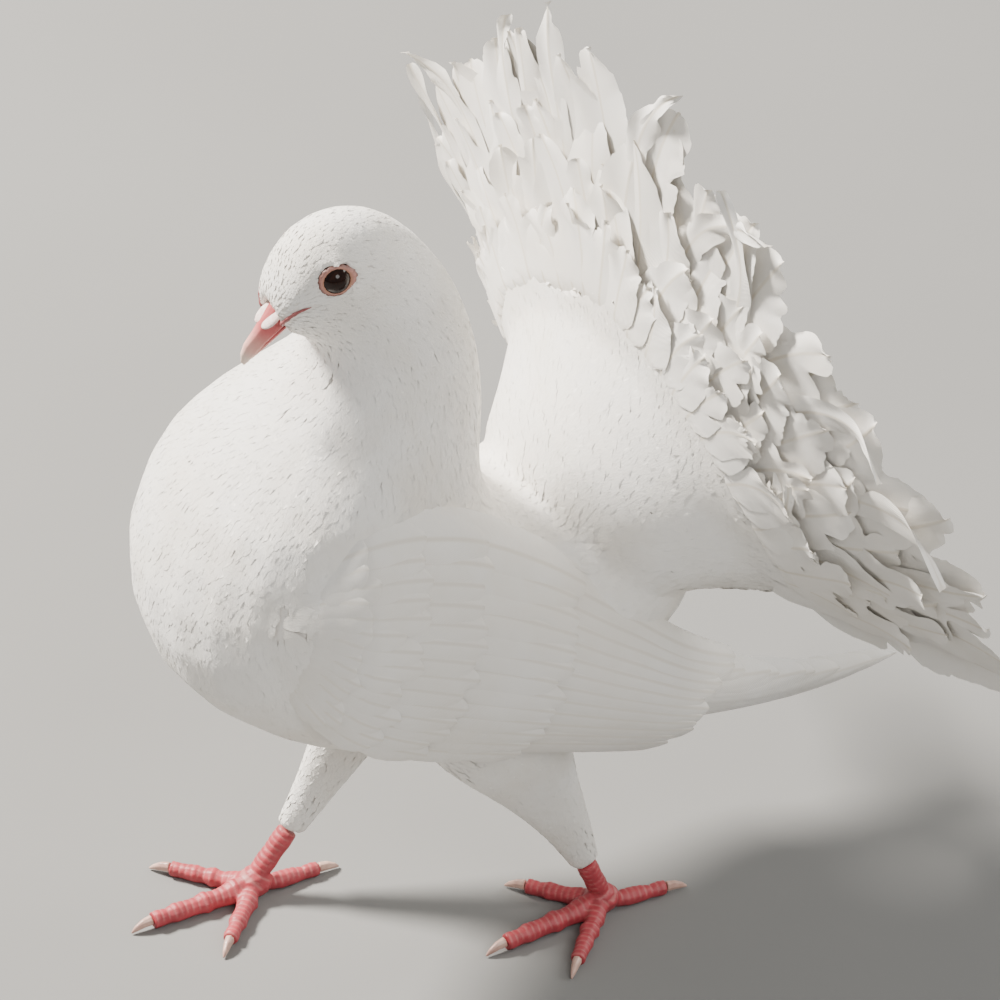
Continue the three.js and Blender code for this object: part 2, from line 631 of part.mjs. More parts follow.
function toeSolid(foot, { heading, length, radius, joints }) {
  const { ahead, across } = toeFrame(heading);
  const scutes = Math.round(length / SCUTE_LENGTH);
  const rings = scutes * 2;
  const sides = 8;
  return loft(
    Array.from({ length: rings + 1 }, (_, i) => {
      const share = i / rings;
      const pad = 1 + 0.13 * Math.cos(2 * Math.PI * joints * share);
      const size = radius * mix(1.06, 0.72, share) * pad * (i % 2 ? 1 : 0.9);
      const rise = mix(FOOT_HEIGHT - 2.6, radius * 0.72, smooth(share * 3.2));
      const centre = foot.clone().addScaledVector(ahead, length * share);
      return Array.from({ length: sides }, (_, j) => {
        const angle = (2 * Math.PI * (j + 0.5)) / sides;
        const p = centre.clone().addScaledVector(across, size * Math.cos(angle));
        const z = rise + size * Math.sin(angle);
        p.z = share > SOLE_START ? Math.max(0, z) : z;
        if (Math.sin(angle) < -0.9 && share > SOLE_START) p.z = 0;
        return p;
      });
    }),
  );
}

// A claw curves down from the toe's end and its point just clears the floor.
function clawSolid(foot, { heading, length, radius }) {
  const { ahead } = toeFrame(heading);
  const path = [0, 0.4, 0.75, 1].map((t) => {
    const p = foot.clone().addScaledVector(ahead, length + GAP + CLAW_LENGTH * t);
    p.z = mix(radius * 0.8, 0.55, t * t);
    return p;
  });
  const sizes = [[1.5, 1.7], [1.2, 1.5], [0.8, 1.0], [0.25, 0.3]];
  const { across } = toeFrame(heading);
  return tube(path, sizes, 7, across);
}

function footSolid(side) {
  const foot = side === "left" ? LEFT_FOOT : RIGHT_FOOT;
  const stations = LEGS[side];
  const [x, y, z] = stations[stations.length - 1];
  const top = new THREE.Vector3(x, y, z);
  const down = foot.clone().setZ(FOOT_HEIGHT - 2).sub(top);
  const steps = 5;
  const path = Array.from({ length: steps + 1 }, (_, i) =>
    top.clone().addScaledVector(down, mix(0.03, 1.08, i / steps)),
  );
  const radii = path.map((_, i) => {
    const ridge = i % 2 ? 1.04 : 0.96;
    return [3.3 * ridge + (i === steps ? 0.4 : 0), 3.0 * ridge + (i === steps ? 0.4 : 0)];
  });
  const shank = tube(path, radii, 10);
  const palm = new THREE.SphereGeometry(1, 8, 6).scale(5.2, 5.2, 4.6);
  const hub = solid(palm.translate(foot.x, foot.y, FOOT_HEIGHT - 3.4));
  const toes = TOES[side].map((toe) => toeSolid(foot, toe));
  const below = solid(new THREE.BoxGeometry(200, 200, 20).translate(foot.x, foot.y, -10));
  return union([shank, hub, ...toes]).subtract(below);
}

// Assembly

const grownTorso = bodyPiece(0, NECK_START * (1 + 1 / TORSO_STEPS), TORSO_STEPS + 1, GAP);
const rumpRadii = TAIL_SECTION.map(([r]) => r).filter((r) => r <= RUMP_RADIUS);
const rumpBlock = tailBlock(rumpRadii, -TAIL_SPREAD, TAIL_SPREAD, 16);
const rumpSolid = rumpBlock.subtract(grownTorso);
const grownRump = tailBlock([...rumpRadii.slice(0, -1), RUMP_RADIUS + GAP], -TAIL_SPREAD, TAIL_SPREAD, 16);
const grownRoots = Object.fromEntries(
  TAIL_PARTS.map((part) => [
    part.name,
    tailBlock(
      [RUMP_RADIUS - GAP, TAIL_SOCKET, TAIL_ROOT_RADIUS + GAP],
      Math.max(-1, part.from) * TAIL_SPREAD - 0.01,
      Math.min(1, part.to) * TAIL_SPREAD + 0.01,
      6,
    ),
  ]),
);

const grownLegs = { left: legTube("left", GAP), right: legTube("right", GAP) };

const bird = new THREE.Group();

function add(name, made, material) {
  const mesh = new THREE.Mesh(geometryFrom(made), material);
  mesh.name = name;
  bird.add(mesh);
}

add("torso", bodyPiece(0, NECK_START, TORSO_STEPS), plumage());
add("neck", bodyPiece(NECK_START + 0.0016, HEAD_START - 0.0012, 9), plumage());
add("head", headSolid(), plumage());
add("cere", cereSolid().subtract(billHalf(UPPER_BILL, GAP)), cereSkin());
add("bill_upper", billHalf(UPPER_BILL).subtract(union([nostril(-1), nostril(1)])), horn());
add("bill_lower", billHalf(LOWER_BILL), horn());
for (const [side, sign] of [["left", 1], ["right", -1]]) {
  add(`eye_${side}`, eyeball(sign), eyeGloss());
  add(`wing_${side}`, wingSolid(sign), feather());
  add(`leg_${side}`, legTube(side).subtract(grownTorso), plumage());
  add(`foot_${side}`, footSolid(side), redSkin());
  for (const toe of TOES[side]) {
    add(`claw_${side}_${toe.name}`, clawSolid(side === "left" ? LEFT_FOOT : RIGHT_FOOT, toe), clawHorn());
  }
}
add("rump", rumpSolid, plumage());
for (const part of TAIL_PARTS) add(part.name, tailPart(part), feather());

// The origin is the middle of the whole bird's box, on the floor.
const box = new THREE.Box3().setFromObject(bird);
const centre = box.getCenter(new THREE.Vector3());
bird.children.forEach((mesh) => mesh.geometry.translate(-centre.x, -centre.y, -box.min.z));

export default bird;
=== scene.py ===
"""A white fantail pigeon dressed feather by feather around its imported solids."""

import math
from itertools import product

import bpy
import numpy as np
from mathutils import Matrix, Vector
from mathutils.bvhtree import BVHTree
from mathutils.kdtree import KDTree


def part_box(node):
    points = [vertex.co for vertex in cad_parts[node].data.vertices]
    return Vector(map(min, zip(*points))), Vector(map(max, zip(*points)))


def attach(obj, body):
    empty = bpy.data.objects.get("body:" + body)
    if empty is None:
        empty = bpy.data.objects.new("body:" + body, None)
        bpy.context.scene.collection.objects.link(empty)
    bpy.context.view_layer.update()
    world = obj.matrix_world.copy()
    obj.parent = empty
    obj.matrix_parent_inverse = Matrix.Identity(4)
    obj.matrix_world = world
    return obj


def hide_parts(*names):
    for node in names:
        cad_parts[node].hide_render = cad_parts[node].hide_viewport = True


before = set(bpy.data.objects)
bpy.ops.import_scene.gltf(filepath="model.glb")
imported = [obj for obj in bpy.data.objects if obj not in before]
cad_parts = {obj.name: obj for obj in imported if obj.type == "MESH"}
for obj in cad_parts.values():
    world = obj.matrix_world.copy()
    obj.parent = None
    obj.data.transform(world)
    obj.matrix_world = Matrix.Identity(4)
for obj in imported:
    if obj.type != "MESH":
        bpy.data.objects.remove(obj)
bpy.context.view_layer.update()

bl_info = {
    "name": "Fantail pigeon",
    "version": (1, 0, 0),
    "blender": (4, 5, 0),
    "location": "View3D > Sidebar > Pigeon",
    "description": "Dresses the fantail pigeon in its skin, coat, flight feathers, eyes, bill and feet",
    "category": "Object",
}

MM = 0.001
UP = np.array([0.0, 0.0, 1.0])

# The bird's own plan, in millimetres about the floor point between its feet. It faces -Y, its left is +X.
HEAD_TURN = math.radians(6)
EYE_CENTRE = (8.7, -33.2, 232.2)
EYE_RADIUS = 5.2
BILL_LENGTH = 22.5
GAPE = (0, -40, 221.7)
BILL_PITCH = math.radians(40)
NECK_START = 9.6 / 20
HEAD_START = 13.3 / 20
TAIL_CENTRE = np.array([0.0, 52.0, 120.0])
TAIL_RADIUS = 139
TAIL_SPREAD = math.radians(96)
TAIL_LEAN = math.radians(7)
TAIL_SWEEP = math.radians(31)
TAIL_TURN = math.radians(9)
TAIL_BEND = 7
TAIL_CUP = 3
TAIL_ROOT_RADIUS = 60
RAMP_END = 74
WING_LENGTH = 215
WING_BODY_END = 0.62
FEET = {"left": np.array([24.0, 44.0, 0.0]), "right": np.array([-25.0, -43.0, 0.0])}
BODY_STATIONS = (
    ((73, 124), (75, 110), 10, 0), ((67, 137), (68, 94), 31, 0), ((52, 140.5), (48, 80), 40, 0),
    ((38, 138.5), (22, 71), 45, 0), ((26, 139.5), (-8, 69), 47.5, 0.02), ((18.5, 144), (-38.5, 78), 48, 0.08),
    ((15, 151), (-63, 92.5), 48, 0.18), ((14.5, 159), (-80.5, 112), 47, 0.28),
    ((15.5, 168), (-83.5, 138), 44.5, 0.34), ((16, 177), (-74.5, 162), 40, 0.34),
    ((15.5, 186), (-59, 179), 31.5, 0.26), ((14, 195), (-45, 190.5), 25, 0.14),
    ((11.5, 204.5), (-38, 198), 20.5, 0.06), ((7.5, 215), (-35.5, 203.5), 17, 0),
    ((1, 226), (-36, 207), 15, 0), ((-8, 237), (-37.5, 209), 14.2, 0), ((-19, 244.2), (-40, 211), 13.8, 0),
    ((-30.5, 245.4), (-43, 213), 12.8, 0), ((-40.5, 240.5), (-46, 215), 10.6, 0),
    ((-46.6, 232), (-48.4, 217.2), 7.6, 0), ((-49, 226), (-49.4, 219.5), 4, 0),
)
TAIL_SECTION = ((7, 18, -15), (20, 25.5, -13), (34, 21.5, -10.5), (46, 14, -7.5), (60, 6.4, -3.4))
TAIL_REACH = ((-96, 0.96), (-40, 0.99), (0, 1.04), (18, 0.97), (45, 0.93), (72, 1), (96, 0.97))
WING_EDGES = (
    ((39, -67, 138), (37.5, -61, 152), 5), ((42.5, -61, 119), (36.5, -48, 165.5), 10.5),
    ((45, -47, 100), (37, -34, 171.5), 16.5), ((46, -24, 87.5), (33, -5, 164), 18.5),
    ((47, 4, 79.5), (31, 20, 146), 18), ((47, 34, 71.5), (35, 44, 123), 14),
    ((45, 66, 63.5), (39, 69, 100), 8), ((40, 101, 58.5), (38.5, 104, 86), 4),
    ((34, 139, 61), (34, 140, 71), 0.5),
)
WING_THICKNESS = ((0, 7), (0.3, 12), (0.55, 10), (WING_BODY_END, 6))
WING_BODY_DEPTH = ((0, 0), (0.13, 0), (0.36, 3.6), (1, 4))
LEGS = {
    "left": ((27, 4, 92, 19, 24), (26, 14, 72, 15, 19), (25, 22, 56, 10.5, 13), (24.5, 29, 42, 7.5, 9),
             (24.3, 34.5, 30, 5.6, 6.4), (24.2, 38.5, 19.5, 4.2, 4.6)),
    "right": ((-27, 6, 92, 19, 24), (-26.5, -1, 72, 15, 19), (-26, -9, 56, 10.5, 13),
              (-25.5, -17, 42.5, 7.5, 9), (-25.2, -24.5, 31, 5.6, 6.4), (-25, -32, 20, 4.2, 4.6)),
}
TOES = {"left": ((-46, 23), (9, 33), (50, 27), (178, 20)), "right": ((50, 25), (4, 33), (-45, 26), (182, 20))}
SIDES = {"left": 1, "right": -1}
FLESH = ("torso", "neck", "head", "leg_left", "leg_right", "rump")

# The photograph's viewing angle: azimuth and elevation of the camera seen from the bird.
CAMERA_AZIMUTH = math.radians(65)
CAMERA_ELEVATION = math.radians(35)
CAMERA_PLACE = (1730.4, -783.8, 1471.4)


# Curves and surfaces of the plan


def smooth(t):
    t = np.clip(t, 0, 1)
    return t * t * (3 - 2 * t)


def mix(a, b, t):
    return a + (b - a) * t


def profile(pairs, at):
    """A value read smoothly from a short list of (place, value) pairs."""
    xs, ys = np.array(pairs, float).T
    at = np.asarray(at, float)
    i = np.clip(np.searchsorted(xs, at, side="left"), 1, len(xs) - 1)
    share = np.clip((at - xs[i - 1]) / (xs[i] - xs[i - 1]), 0, 1)
    return mix(ys[i - 1], ys[i], (smooth(share) + share) / 2)


class Spline:
    """A centripetal curve through points, read by a share of its stations."""

    def __init__(self, points):
        p = np.array(points, float)
        self.points = np.vstack([2 * p[0] - p[1], p, 2 * p[-1] - p[-2]])
        self.spans = len(p) - 1

    def __call__(self, t):
        at = np.clip(np.asarray(t, float), 0, 1) * self.spans
        i = np.minimum(at.astype(int), self.spans - 1)
        w = (at - i)[..., None]
        p0, p1, p2, p3 = (self.points[i + k] for k in range(4))
        d0, d1, d2 = (np.maximum(np.sum((b - a) ** 2, -1, keepdims=True) ** 0.25, 1e-4)
                      for a, b in ((p0, p1), (p1, p2), (p2, p3)))
        t1 = ((p1 - p0) / d0 - (p2 - p0) / (d0 + d1) + (p2 - p1) / d1) * d1
        t2 = ((p2 - p1) / d1 - (p3 - p1) / (d1 + d2) + (p3 - p2) / d2) * d1
        return p1 + w * (t1 + w * (-3 * p1 + 3 * p2 - 2 * t1 - t2 + w * (2 * p1 - 2 * p2 + t1 + t2)))


def unit(v):
    return v / np.maximum(np.linalg.norm(v, axis=-1, keepdims=True), 1e-12)


def level(way, normal):
    """A way made square to a normal."""
    return unit(way - normal * np.sum(way * normal, -1, keepdims=True))


def turned(points, angle):
    """Points turned about the upright line through the plan's middle."""
    points = np.asarray(points, float)
    c, s = np.cos(angle), np.sin(angle)
    x, y = points[..., 0], points[..., 1]
    return np.stack([x * c - y * s, x * s + y * c, points[..., 2]], -1)


EYE_SEEN = turned(EYE_CENTRE, HEAD_TURN)
_eye_low, _eye_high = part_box("eye_left")
SHIFT = EYE_SEEN - np.array((_eye_low + _eye_high) / 2) / MM


def placed(points):
    """Points of the plan as places in the frame, in metres."""
    return (np.asarray(points, float) - SHIFT) * MM


BACK_LINE = Spline([(0, *s[0]) for s in BODY_STATIONS])
BELLY_LINE = Spline([(0, *s[1]) for s in BODY_STATIONS])
WIDTH_LINE = Spline([(s[2], s[3], 0) for s in BODY_STATIONS])


def body_point(at, theta):
    """The body's surface at a share of the way from tail root to face, and an angle from the back."""
    back, belly, width = BACK_LINE(at), BELLY_LINE(at), WIDTH_LINE(at)
    axis = back - belly
    half = np.linalg.norm(axis, axis=-1) / 2
    p = (back + belly) / 2 + unit(axis) * (half * np.cos(theta))[..., None]
    p[..., 0] = width[..., 0] * np.sin(theta) * (1 - width[..., 1] * np.cos(theta))
    return turned(p, HEAD_TURN * smooth((at - NECK_START) / (HEAD_START - NECK_START)))


def tail_direction(angle):
    """The way out from the tail's centre, at an angle from upright."""
    share = np.minimum(1, np.abs(angle) / TAIL_SPREAD)
    back = TAIL_LEAN + (TAIL_SWEEP - TAIL_LEAN) * share ** TAIL_CUP
    out = np.stack([np.cos(back) * np.sin(angle), np.sin(back) + 0 * angle, np.cos(back) * np.cos(angle)], -1)
    return turned(out, TAIL_TURN)


def tail_point(radius, angle, front):
    """A point of the tail: distance from its centre, angle, and height in front of its own surface."""
    radius, angle, front = np.broadcast_arrays(np.asarray(radius, float), angle, front)
    out = tail_direction(angle)
    side = unit(tail_direction(angle + 0.01) - tail_direction(angle - 0.01))
    ahead = unit(np.cross(side, out))
    beyond = np.maximum(0, (radius - TAIL_ROOT_RADIUS) / (TAIL_RADIUS - TAIL_ROOT_RADIUS))
    return TAIL_CENTRE + out * radius[..., None] + ahead * (front + TAIL_BEND * beyond ** 2)[..., None]


def tail_front(radius, angle, column=1):
    """Height of the fleshy root's front, or with column 2 of its back."""
    edge = 1 - 0.55 * smooth((np.abs(angle) / TAIL_SPREAD - 0.75) / 0.25)
    return profile([(s[0], s[column]) for s in TAIL_SECTION], radius) * edge


WING_LOW = Spline([e[0] for e in WING_EDGES])
WING_HIGH = Spline([e[1] for e in WING_EDGES])
WING_SWELL = Spline([(e[2], 0, 0) for e in WING_EDGES])


def wing_surface(u, v):
    """The folded wing's outer surface, carried on straight beyond its two ends."""
    at = np.clip(u, 0, 1)
    low = WING_LOW(at)
    p = mix(low, WING_HIGH(at), ((v + 1) / 2)[..., None])
    p[..., 0] += WING_SWELL(at)[..., 0] * (1 - v * v)
    tangent = unit(WING_LOW(np.minimum(at + 0.004, 1)) - WING_LOW(np.maximum(at - 0.004, 0)))
    return p + tangent * ((u - at) * WING_LENGTH)[..., None]


def wing_half_height(u):
    return np.linalg.norm(WING_HIGH(u) - WING_LOW(u), axis=-1) / 2


def wing_point(sign, u, v, depth):
    """A point of the folded wing: share of its length, place across from -1 to 1, and depth to the body."""
    u, v, depth = np.broadcast_arrays(np.asarray(u, float), v, depth)
    e = 0.01
    at = np.clip(u, 1.5 * e, 1 - 1.5 * e)
    along = wing_surface(at + e, v) - wing_surface(at - e, v)
    upward = wing_surface(at, v + e) - wing_surface(at, v - e)
    inward = unit(np.cross(along, upward))
    inward = np.where(inward[..., :1] > 0, -inward, inward)
    p = wing_surface(u, v) + inward * depth[..., None]
    p[..., 0] *= sign
    return p


def leg_lines(side):
    """A leg's middle line and its half widths."""
    stations = LEGS[side]
    return Spline([s[:3] for s in stations]), Spline([(s[3], s[4], 0) for s in stations])


# Meshes


def select_only(*objects):
    if bpy.context.object and bpy.context.object.mode != "OBJECT":
        bpy.ops.object.mode_set(mode="OBJECT")
    bpy.ops.object.select_all(action="DESELECT")
    for o in objects:
        o.select_set(True)
    if objects:
        bpy.context.view_layer.objects.active = objects[0]
    return objects[0] if objects else None


def linked(name, data):
    """A new object of the scene."""
    o = bpy.data.objects.new(name, data)
    bpy.context.scene.collection.objects.link(o)
    return o


def mesh_object(name, points, faces, maps=None):
    """An object of one mesh from arrays of points and triangles, with UV maps given for each point."""
    mesh = bpy.data.meshes.new(name)
    points = np.ascontiguousarray(points, np.float32)
    faces = np.ascontiguousarray(faces, np.int32)
    mesh.vertices.add(len(points))
    mesh.vertices.foreach_set("co", points.ravel())
    mesh.loops.add(faces.size)
    mesh.loops.foreach_set("vertex_index", faces.ravel())
    mesh.polygons.add(len(faces))
    mesh.polygons.foreach_set("loop_start", np.arange(len(faces), dtype=np.int32) * faces.shape[1])
    mesh.update(calc_edges=True)
    for label, uv in (maps or {}).items():
        layer = mesh.uv_layers.new(name=label)
        layer.uv.foreach_set("vector", np.ascontiguousarray(uv[faces.ravel()], np.float32).ravel())
    return linked(name, mesh)


def in_edit_mode(o, *steps):
    """Runs steps on the whole mesh of an object."""
    select_only(o)
    bpy.ops.object.mode_set(mode="EDIT")
    bpy.ops.mesh.select_all(action="SELECT")
    for step in steps:
        step()
    bpy.ops.object.mode_set(mode="OBJECT")


def with_modifier(o, kind, **settings):
    """A modifier added to an object and applied at once."""
    select_only(o)
    modifier = o.modifiers.new(kind.title(), kind)
    for key, value in settings.items():
        setattr(modifier, key, value)
    bpy.ops.object.modifier_apply(modifier=modifier.name)
    return o


def lofted(rings):
    """Points and triangles of a closed solid through rings of points, with a flat cap at each end."""
    count, sides = len(rings), len(rings[0])
    points = [p for ring in rings for p in ring] + [np.mean(rings[0], 0), np.mean(rings[-1], 0)]
    faces = []
    for i in range(count - 1):
        for j in range(sides):
            a, b = i * sides + j, i * sides + (j + 1) % sides
            faces += [(a, b, b + sides), (a, b + sides, a + sides)]
    for j in range(sides):
        k, last = (j + 1) % sides, (count - 1) * sides
        faces += [(k, j, count * sides), (last + j, last + k, count * sides + 1)]
    return np.array(points), np.array(faces)


def joined_copy(name, nodes, extras=()):
    """Copies of CAD nodes, merged, with further objects, as one object."""
    copies = []
    for node in nodes:
        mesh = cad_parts[node].data.copy()
        mesh.materials.clear()
        while mesh.uv_layers:
            mesh.uv_layers.remove(mesh.uv_layers[0])
        copies.append(linked(name, mesh))
    copies += list(extras)
    o = select_only(*copies)
    bpy.ops.object.join()
    o.name = o.data.name = name
    in_edit_mode(o, lambda: bpy.ops.mesh.remove_doubles(threshold=1e-5),
                 lambda: bpy.ops.mesh.normals_make_consistent(inside=False))
    return o


def remeshed(o, voxel, passes):
    """Gives an object an even, smooth mesh."""
    with_modifier(o, "REMESH", mode="VOXEL", voxel_size=voxel)
    with_modifier(o, "SMOOTH", factor=0.5, iterations=passes)
    bpy.ops.object.shade_smooth()
    return o


def primitive(name, add, **sizes):
    """An object of one of Blender's own forms, at the origin."""
    select_only()
    add(location=(0, 0, 0), **sizes)
    o = bpy.context.object
    o.name = o.data.name = name
    return o


def read(items, key, width=1, kind=np.float32):
    """One property of each item of a mesh, as an array."""
    values = np.empty(len(items) * width, kind)
    items.foreach_get(key, values)
    return values.reshape(-1, width) if width > 1 else values


def points_of(o):
    return read(o.data.vertices, "co", 3).astype(float)


def normals_of(o):
    return read(o.data.vertices, "normal", 3).astype(float)


def set_points(o, co):
    o.data.vertices.foreach_set("co", np.ascontiguousarray(co, np.float32).ravel())
    o.data.update()


def set_attribute(o, name, values):
    """Keeps a number for each point of an object, for its material to read."""
    attribute = o.data.attributes.new(name, "FLOAT", "POINT")
    attribute.data.foreach_set("value", values.astype(np.float32))


# Feathers as closed vanes: a grid with a face on each side, which share their rim


VANE_EDGE = math.radians(60)


def vane_template(rows, columns):
    """Triangles of one vane, and the grid place and side of each of its points."""
    grid = np.arange((rows + 1) * (columns + 1)).reshape(rows + 1, columns + 1)
    under = grid.copy()
    inner = grid[1:-1, 1:-1]
    under[1:-1, 1:-1] = np.arange(inner.size).reshape(inner.shape) + grid.size
    faces = []
    for i in range(rows):
        for j in range(columns):
            corner = (i, j) in ((rows - 1, 0), (0, columns - 1))
            for sheet, order in ((grid, 1), (under, -1)):
                a, b, c, d = sheet[i, j], sheet[i + 1, j], sheet[i + 1, j + 1], sheet[i, j + 1]
                pair = ((a, b, d), (b, c, d)) if corner else ((a, b, c), (a, c, d))
                faces += [triangle[::order] for triangle in pair]
    place = np.concatenate([grid.ravel(), inner.ravel()])
    side = np.zeros(len(place))
    side[inner.ravel()] = 1
    side[grid.size:] = -1
    return np.array(faces), place, side


def grid_normals(grid):
    """Normals of batches of grids of points."""
    along = np.gradient(grid, axis=-3)
    across = np.gradient(grid, axis=-2)
    return unit(np.cross(along, across))


class VaneBatch:
    """Closed vanes of one kind, gathered to make one mesh."""

    def __init__(self):
        self.points, self.faces, self.local, self.bake, self.corners = [], [], [], [], []
        self.count = 0

    def add(self, grid, facing, thickness, local, bake, shading=None):
        """Grids (feathers, rows, columns, xyz) in metres, the way they face, thickness, and two UV grids.

        Shading, where given, holds the normals that the light sees, so that tufts melt into one coat."""
        number, rows, columns = grid.shape[:3]
        faces, place, side = vane_template(rows - 1, columns - 1)
        normals = grid_normals(grid)
        turn = np.sign(np.sum(normals * facing, -1).mean(axis=(1, 2)))
        turn[turn == 0] = 1
        flat = grid.reshape(number, -1, 3)[:, place]
        lift = normals.reshape(number, -1, 3)[:, place]
        points = flat + lift * (side * turn[:, None] * thickness / 2)[..., None]
        flipped = faces[:, ::-1]
        for k in range(number):
            self.faces.append((faces if turn[k] > 0 else flipped) + self.count)
            self.count += len(place)
        self.points.append(points.reshape(-1, 3))
        for kept, uv in ((self.local, local), (self.bake, bake)):
            kept.append(uv.reshape(number, -1, 2)[:, place].reshape(-1, 2))
        if shading is not None:
            seen = shading.reshape(number, -1, 3)[:, place]
            upper = np.tile(np.repeat((1, 1, -1, -1), 3), len(faces) // 4)
            corners = np.stack([faces, flipped])[(turn < 0).astype(int)].reshape(number, -1)
            seen = np.take_along_axis(seen, corners[..., None], axis=1)
            self.corners.append((seen * upper[None, :, None]).reshape(-1, 3))

    def made(self, name):
        maps = {"OFBake": np.vstack(self.bake), "Vane": np.vstack(self.local)}
        o = mesh_object(name, np.vstack(self.points), np.vstack(self.faces), maps)
        select_only(o)
        if self.corners:
            bpy.ops.object.shade_smooth()
            o.data.normals_split_custom_set(np.vstack(self.corners).astype(np.float32))
        else:
            bpy.ops.object.shade_smooth_by_angle(angle=VANE_EDGE)
        return o


# Larger feathers

QUILL_SHARE = 0.2
ROUND_TIP = 2.2


def outline(x, tip_start, roundness=ROUND_TIP):
    """Share of a feather's greatest half width at a share of its length."""
    root = mix(QUILL_SHARE, 1, smooth((x - 0.03) / 0.34))
    tip = np.sqrt(np.clip(1 - np.clip((x - tip_start) / (1 - tip_start), 0, 1) ** roundness, 0.0, 1))
    return root * tip


def barbed_vane(rng, length, half, rows, columns, slant, fray, splits, frill, camber, tip_start, ridge,
                points=0.0, fold=0.0, roundness=ROUND_TIP, uneven=0.0, waist=0.0):
    """A feather laid flat: distance along the shaft's line, distance across, and height, as grids in mm.

    Its rows are its barbs, which leave the shaft at a slant, so its splits and ragged tip follow them."""
    start = np.linspace(0, 1, rows + 1) ** 0.92 * length
    steps = np.linspace(-1, 1, columns + 1)
    across = np.sign(steps) * np.abs(steps) ** 1.25
    reach = []
    for side in (-1, 1):
        wide = half * (1 + side * uneven)
        b = wide * outline(start / length, tip_start, roundness)
        for _ in range(14):
            reached = np.minimum(1, (start + slant * b) / length)
            b = 0.5 * b + 0.5 * wide * outline(reached, tip_start, roundness)
        ragged = 1 - 0.05 * rng.random(rows + 1) * smooth(start / length * 2)
        for _ in range(rng.poisson(splits)):
            where = length * (0.35 + 0.63 * rng.random())
            depth = fray * rng.random()
            ragged *= 1 - depth * np.exp(-(((start - where) / (length / rows * 1.1)) ** 2))
        for _ in range(rng.poisson(3) if points else 0):
            where = length * (0.45 + 0.5 * rng.random())
            ragged += points * rng.random() * np.exp(-np.abs(start - where) / (0.035 * length))
        ragged *= 1 - waist * np.exp(-(((start / length - 0.8) / 0.07) ** 2))
        reach.append(np.maximum(b * ragged, 0.25))
    b = np.where(across[None] < 0, reach[0][:, None], reach[1][:, None]) * across[None]
    a = start[:, None] + slant * np.abs(b)
    a = np.minimum(a, length + (0.15 + 1.2 * points) * (a - length).clip(0))
    t = start[:, None] / length
    wave = 2 * math.pi * (t * rng.uniform(1.2, 2.6) + rng.random())
    ripple = frill * np.sin(wave + 1.3 * across[None]) * np.abs(across[None]) ** 1.5 * smooth(t * 1.6 - 0.35)
    height = ripple - camber * half * across[None] ** 2 * outline(t, tip_start) + fold * np.abs(b) * t
    shaft = ridge * np.exp(-((b / 0.45) ** 2)) * (1 - 0.75 * t)
    return a, b, height + shaft, start


def vane_maps(start, b, cell, cells, width, length):
    """The vane's own map, in centimetres along and across, and its patch of the baked map."""
    local = np.stack([np.broadcast_to(start[:, None], b.shape) / 10, b / 10], -1)
    row, column = divmod(cell, cells)
    x = (column + 0.5 + 0.42 * b / max(width, 1e-6)) / cells
    y = (row + 0.08 + 0.84 * start[:, None] / length) / cells
    return local, np.stack([x, np.broadcast_to(y, b.shape)], -1)


class Layer:
    """One piece of larger feathers: each is added as it is laid, and has its own cell of the baked map."""

    def __init__(self, cells):
        self.batch = VaneBatch()
        self.cells = cells
        self.used = 0

    def lay(self, flat, surface, facing, thickness, half, length):
        a, b, height, start = flat
        grid = placed(surface(a, b, height))
        local, bake = vane_maps(start, b, self.used, self.cells, half * 1.4, length)
        self.batch.add(grid[None], facing, thickness * MM, local[None], bake[None])
        self.used += 1
        if self.used > self.cells ** 2:
            raise ValueError("more feathers than cells in the baked map")

    def made(self, name):
        return self.batch.made(name)


# Marks a tier that lies on the front of the tail's fleshy root, and its height there
ON_RAMP = None
RAMP_LIFT = 0.3
TAIL_TIERS = (
    # name, count, root radius, tip radius, front, half width, lift, spread share, frill, flop, curl
    ("rectrices", 30, 46, TAIL_RADIUS, 0.0, 15.5, 0.8, 1.0, 1.2, 0.06, 3.6),
    ("ribbons", 11, 84, 147, 1.2, 5.4, 0.3, 0.86, 1.6, 0.14, 8.0),
    ("long coverts", 27, 44, 120, 2.2, 12.5, 0.7, 0.97, 1.1, 0.07, 3.4),
    ("middle coverts", 29, 46, 106, 4.0, 10.5, 0.65, 0.95, 1.0, 0.08, 3.0),
    ("short coverts", 31, 62, 93, ON_RAMP, 8.5, 0.5, 0.93, 0.9, 0.08, 2.2),
    ("under coverts", 19, 42, 96, -2.6, 13.0, 0.8, 0.96, 0.7, 0.06, 1.6),
    ("short under coverts", 21, 36, 76, -5.0, 10.0, 0.7, 0.92, 0.6, 0.05, 1.0),
)
TAIL_VANE = dict(fray=0.42, splits=2.2, points=0.16, camber=0.02, slant=1.0, tip_start=0.62, roundness=1.7,
                 ridge=0.14)
TAIL_VANE_THICKNESS = 0.26
WING_VANE = dict(columns=8, slant=0.7, fray=0.22, splits=1.2, frill=0.15)
FLIGHT_VANE = dict(WING_VANE, rows=40, camber=0.15, tip_start=0.8, uneven=0.2, ridge=0.1)
COVERT_VANE = dict(WING_VANE, rows=24, camber=0.1, tip_start=0.66, ridge=0.02)
WING_VANE_THICKNESS = 0.28


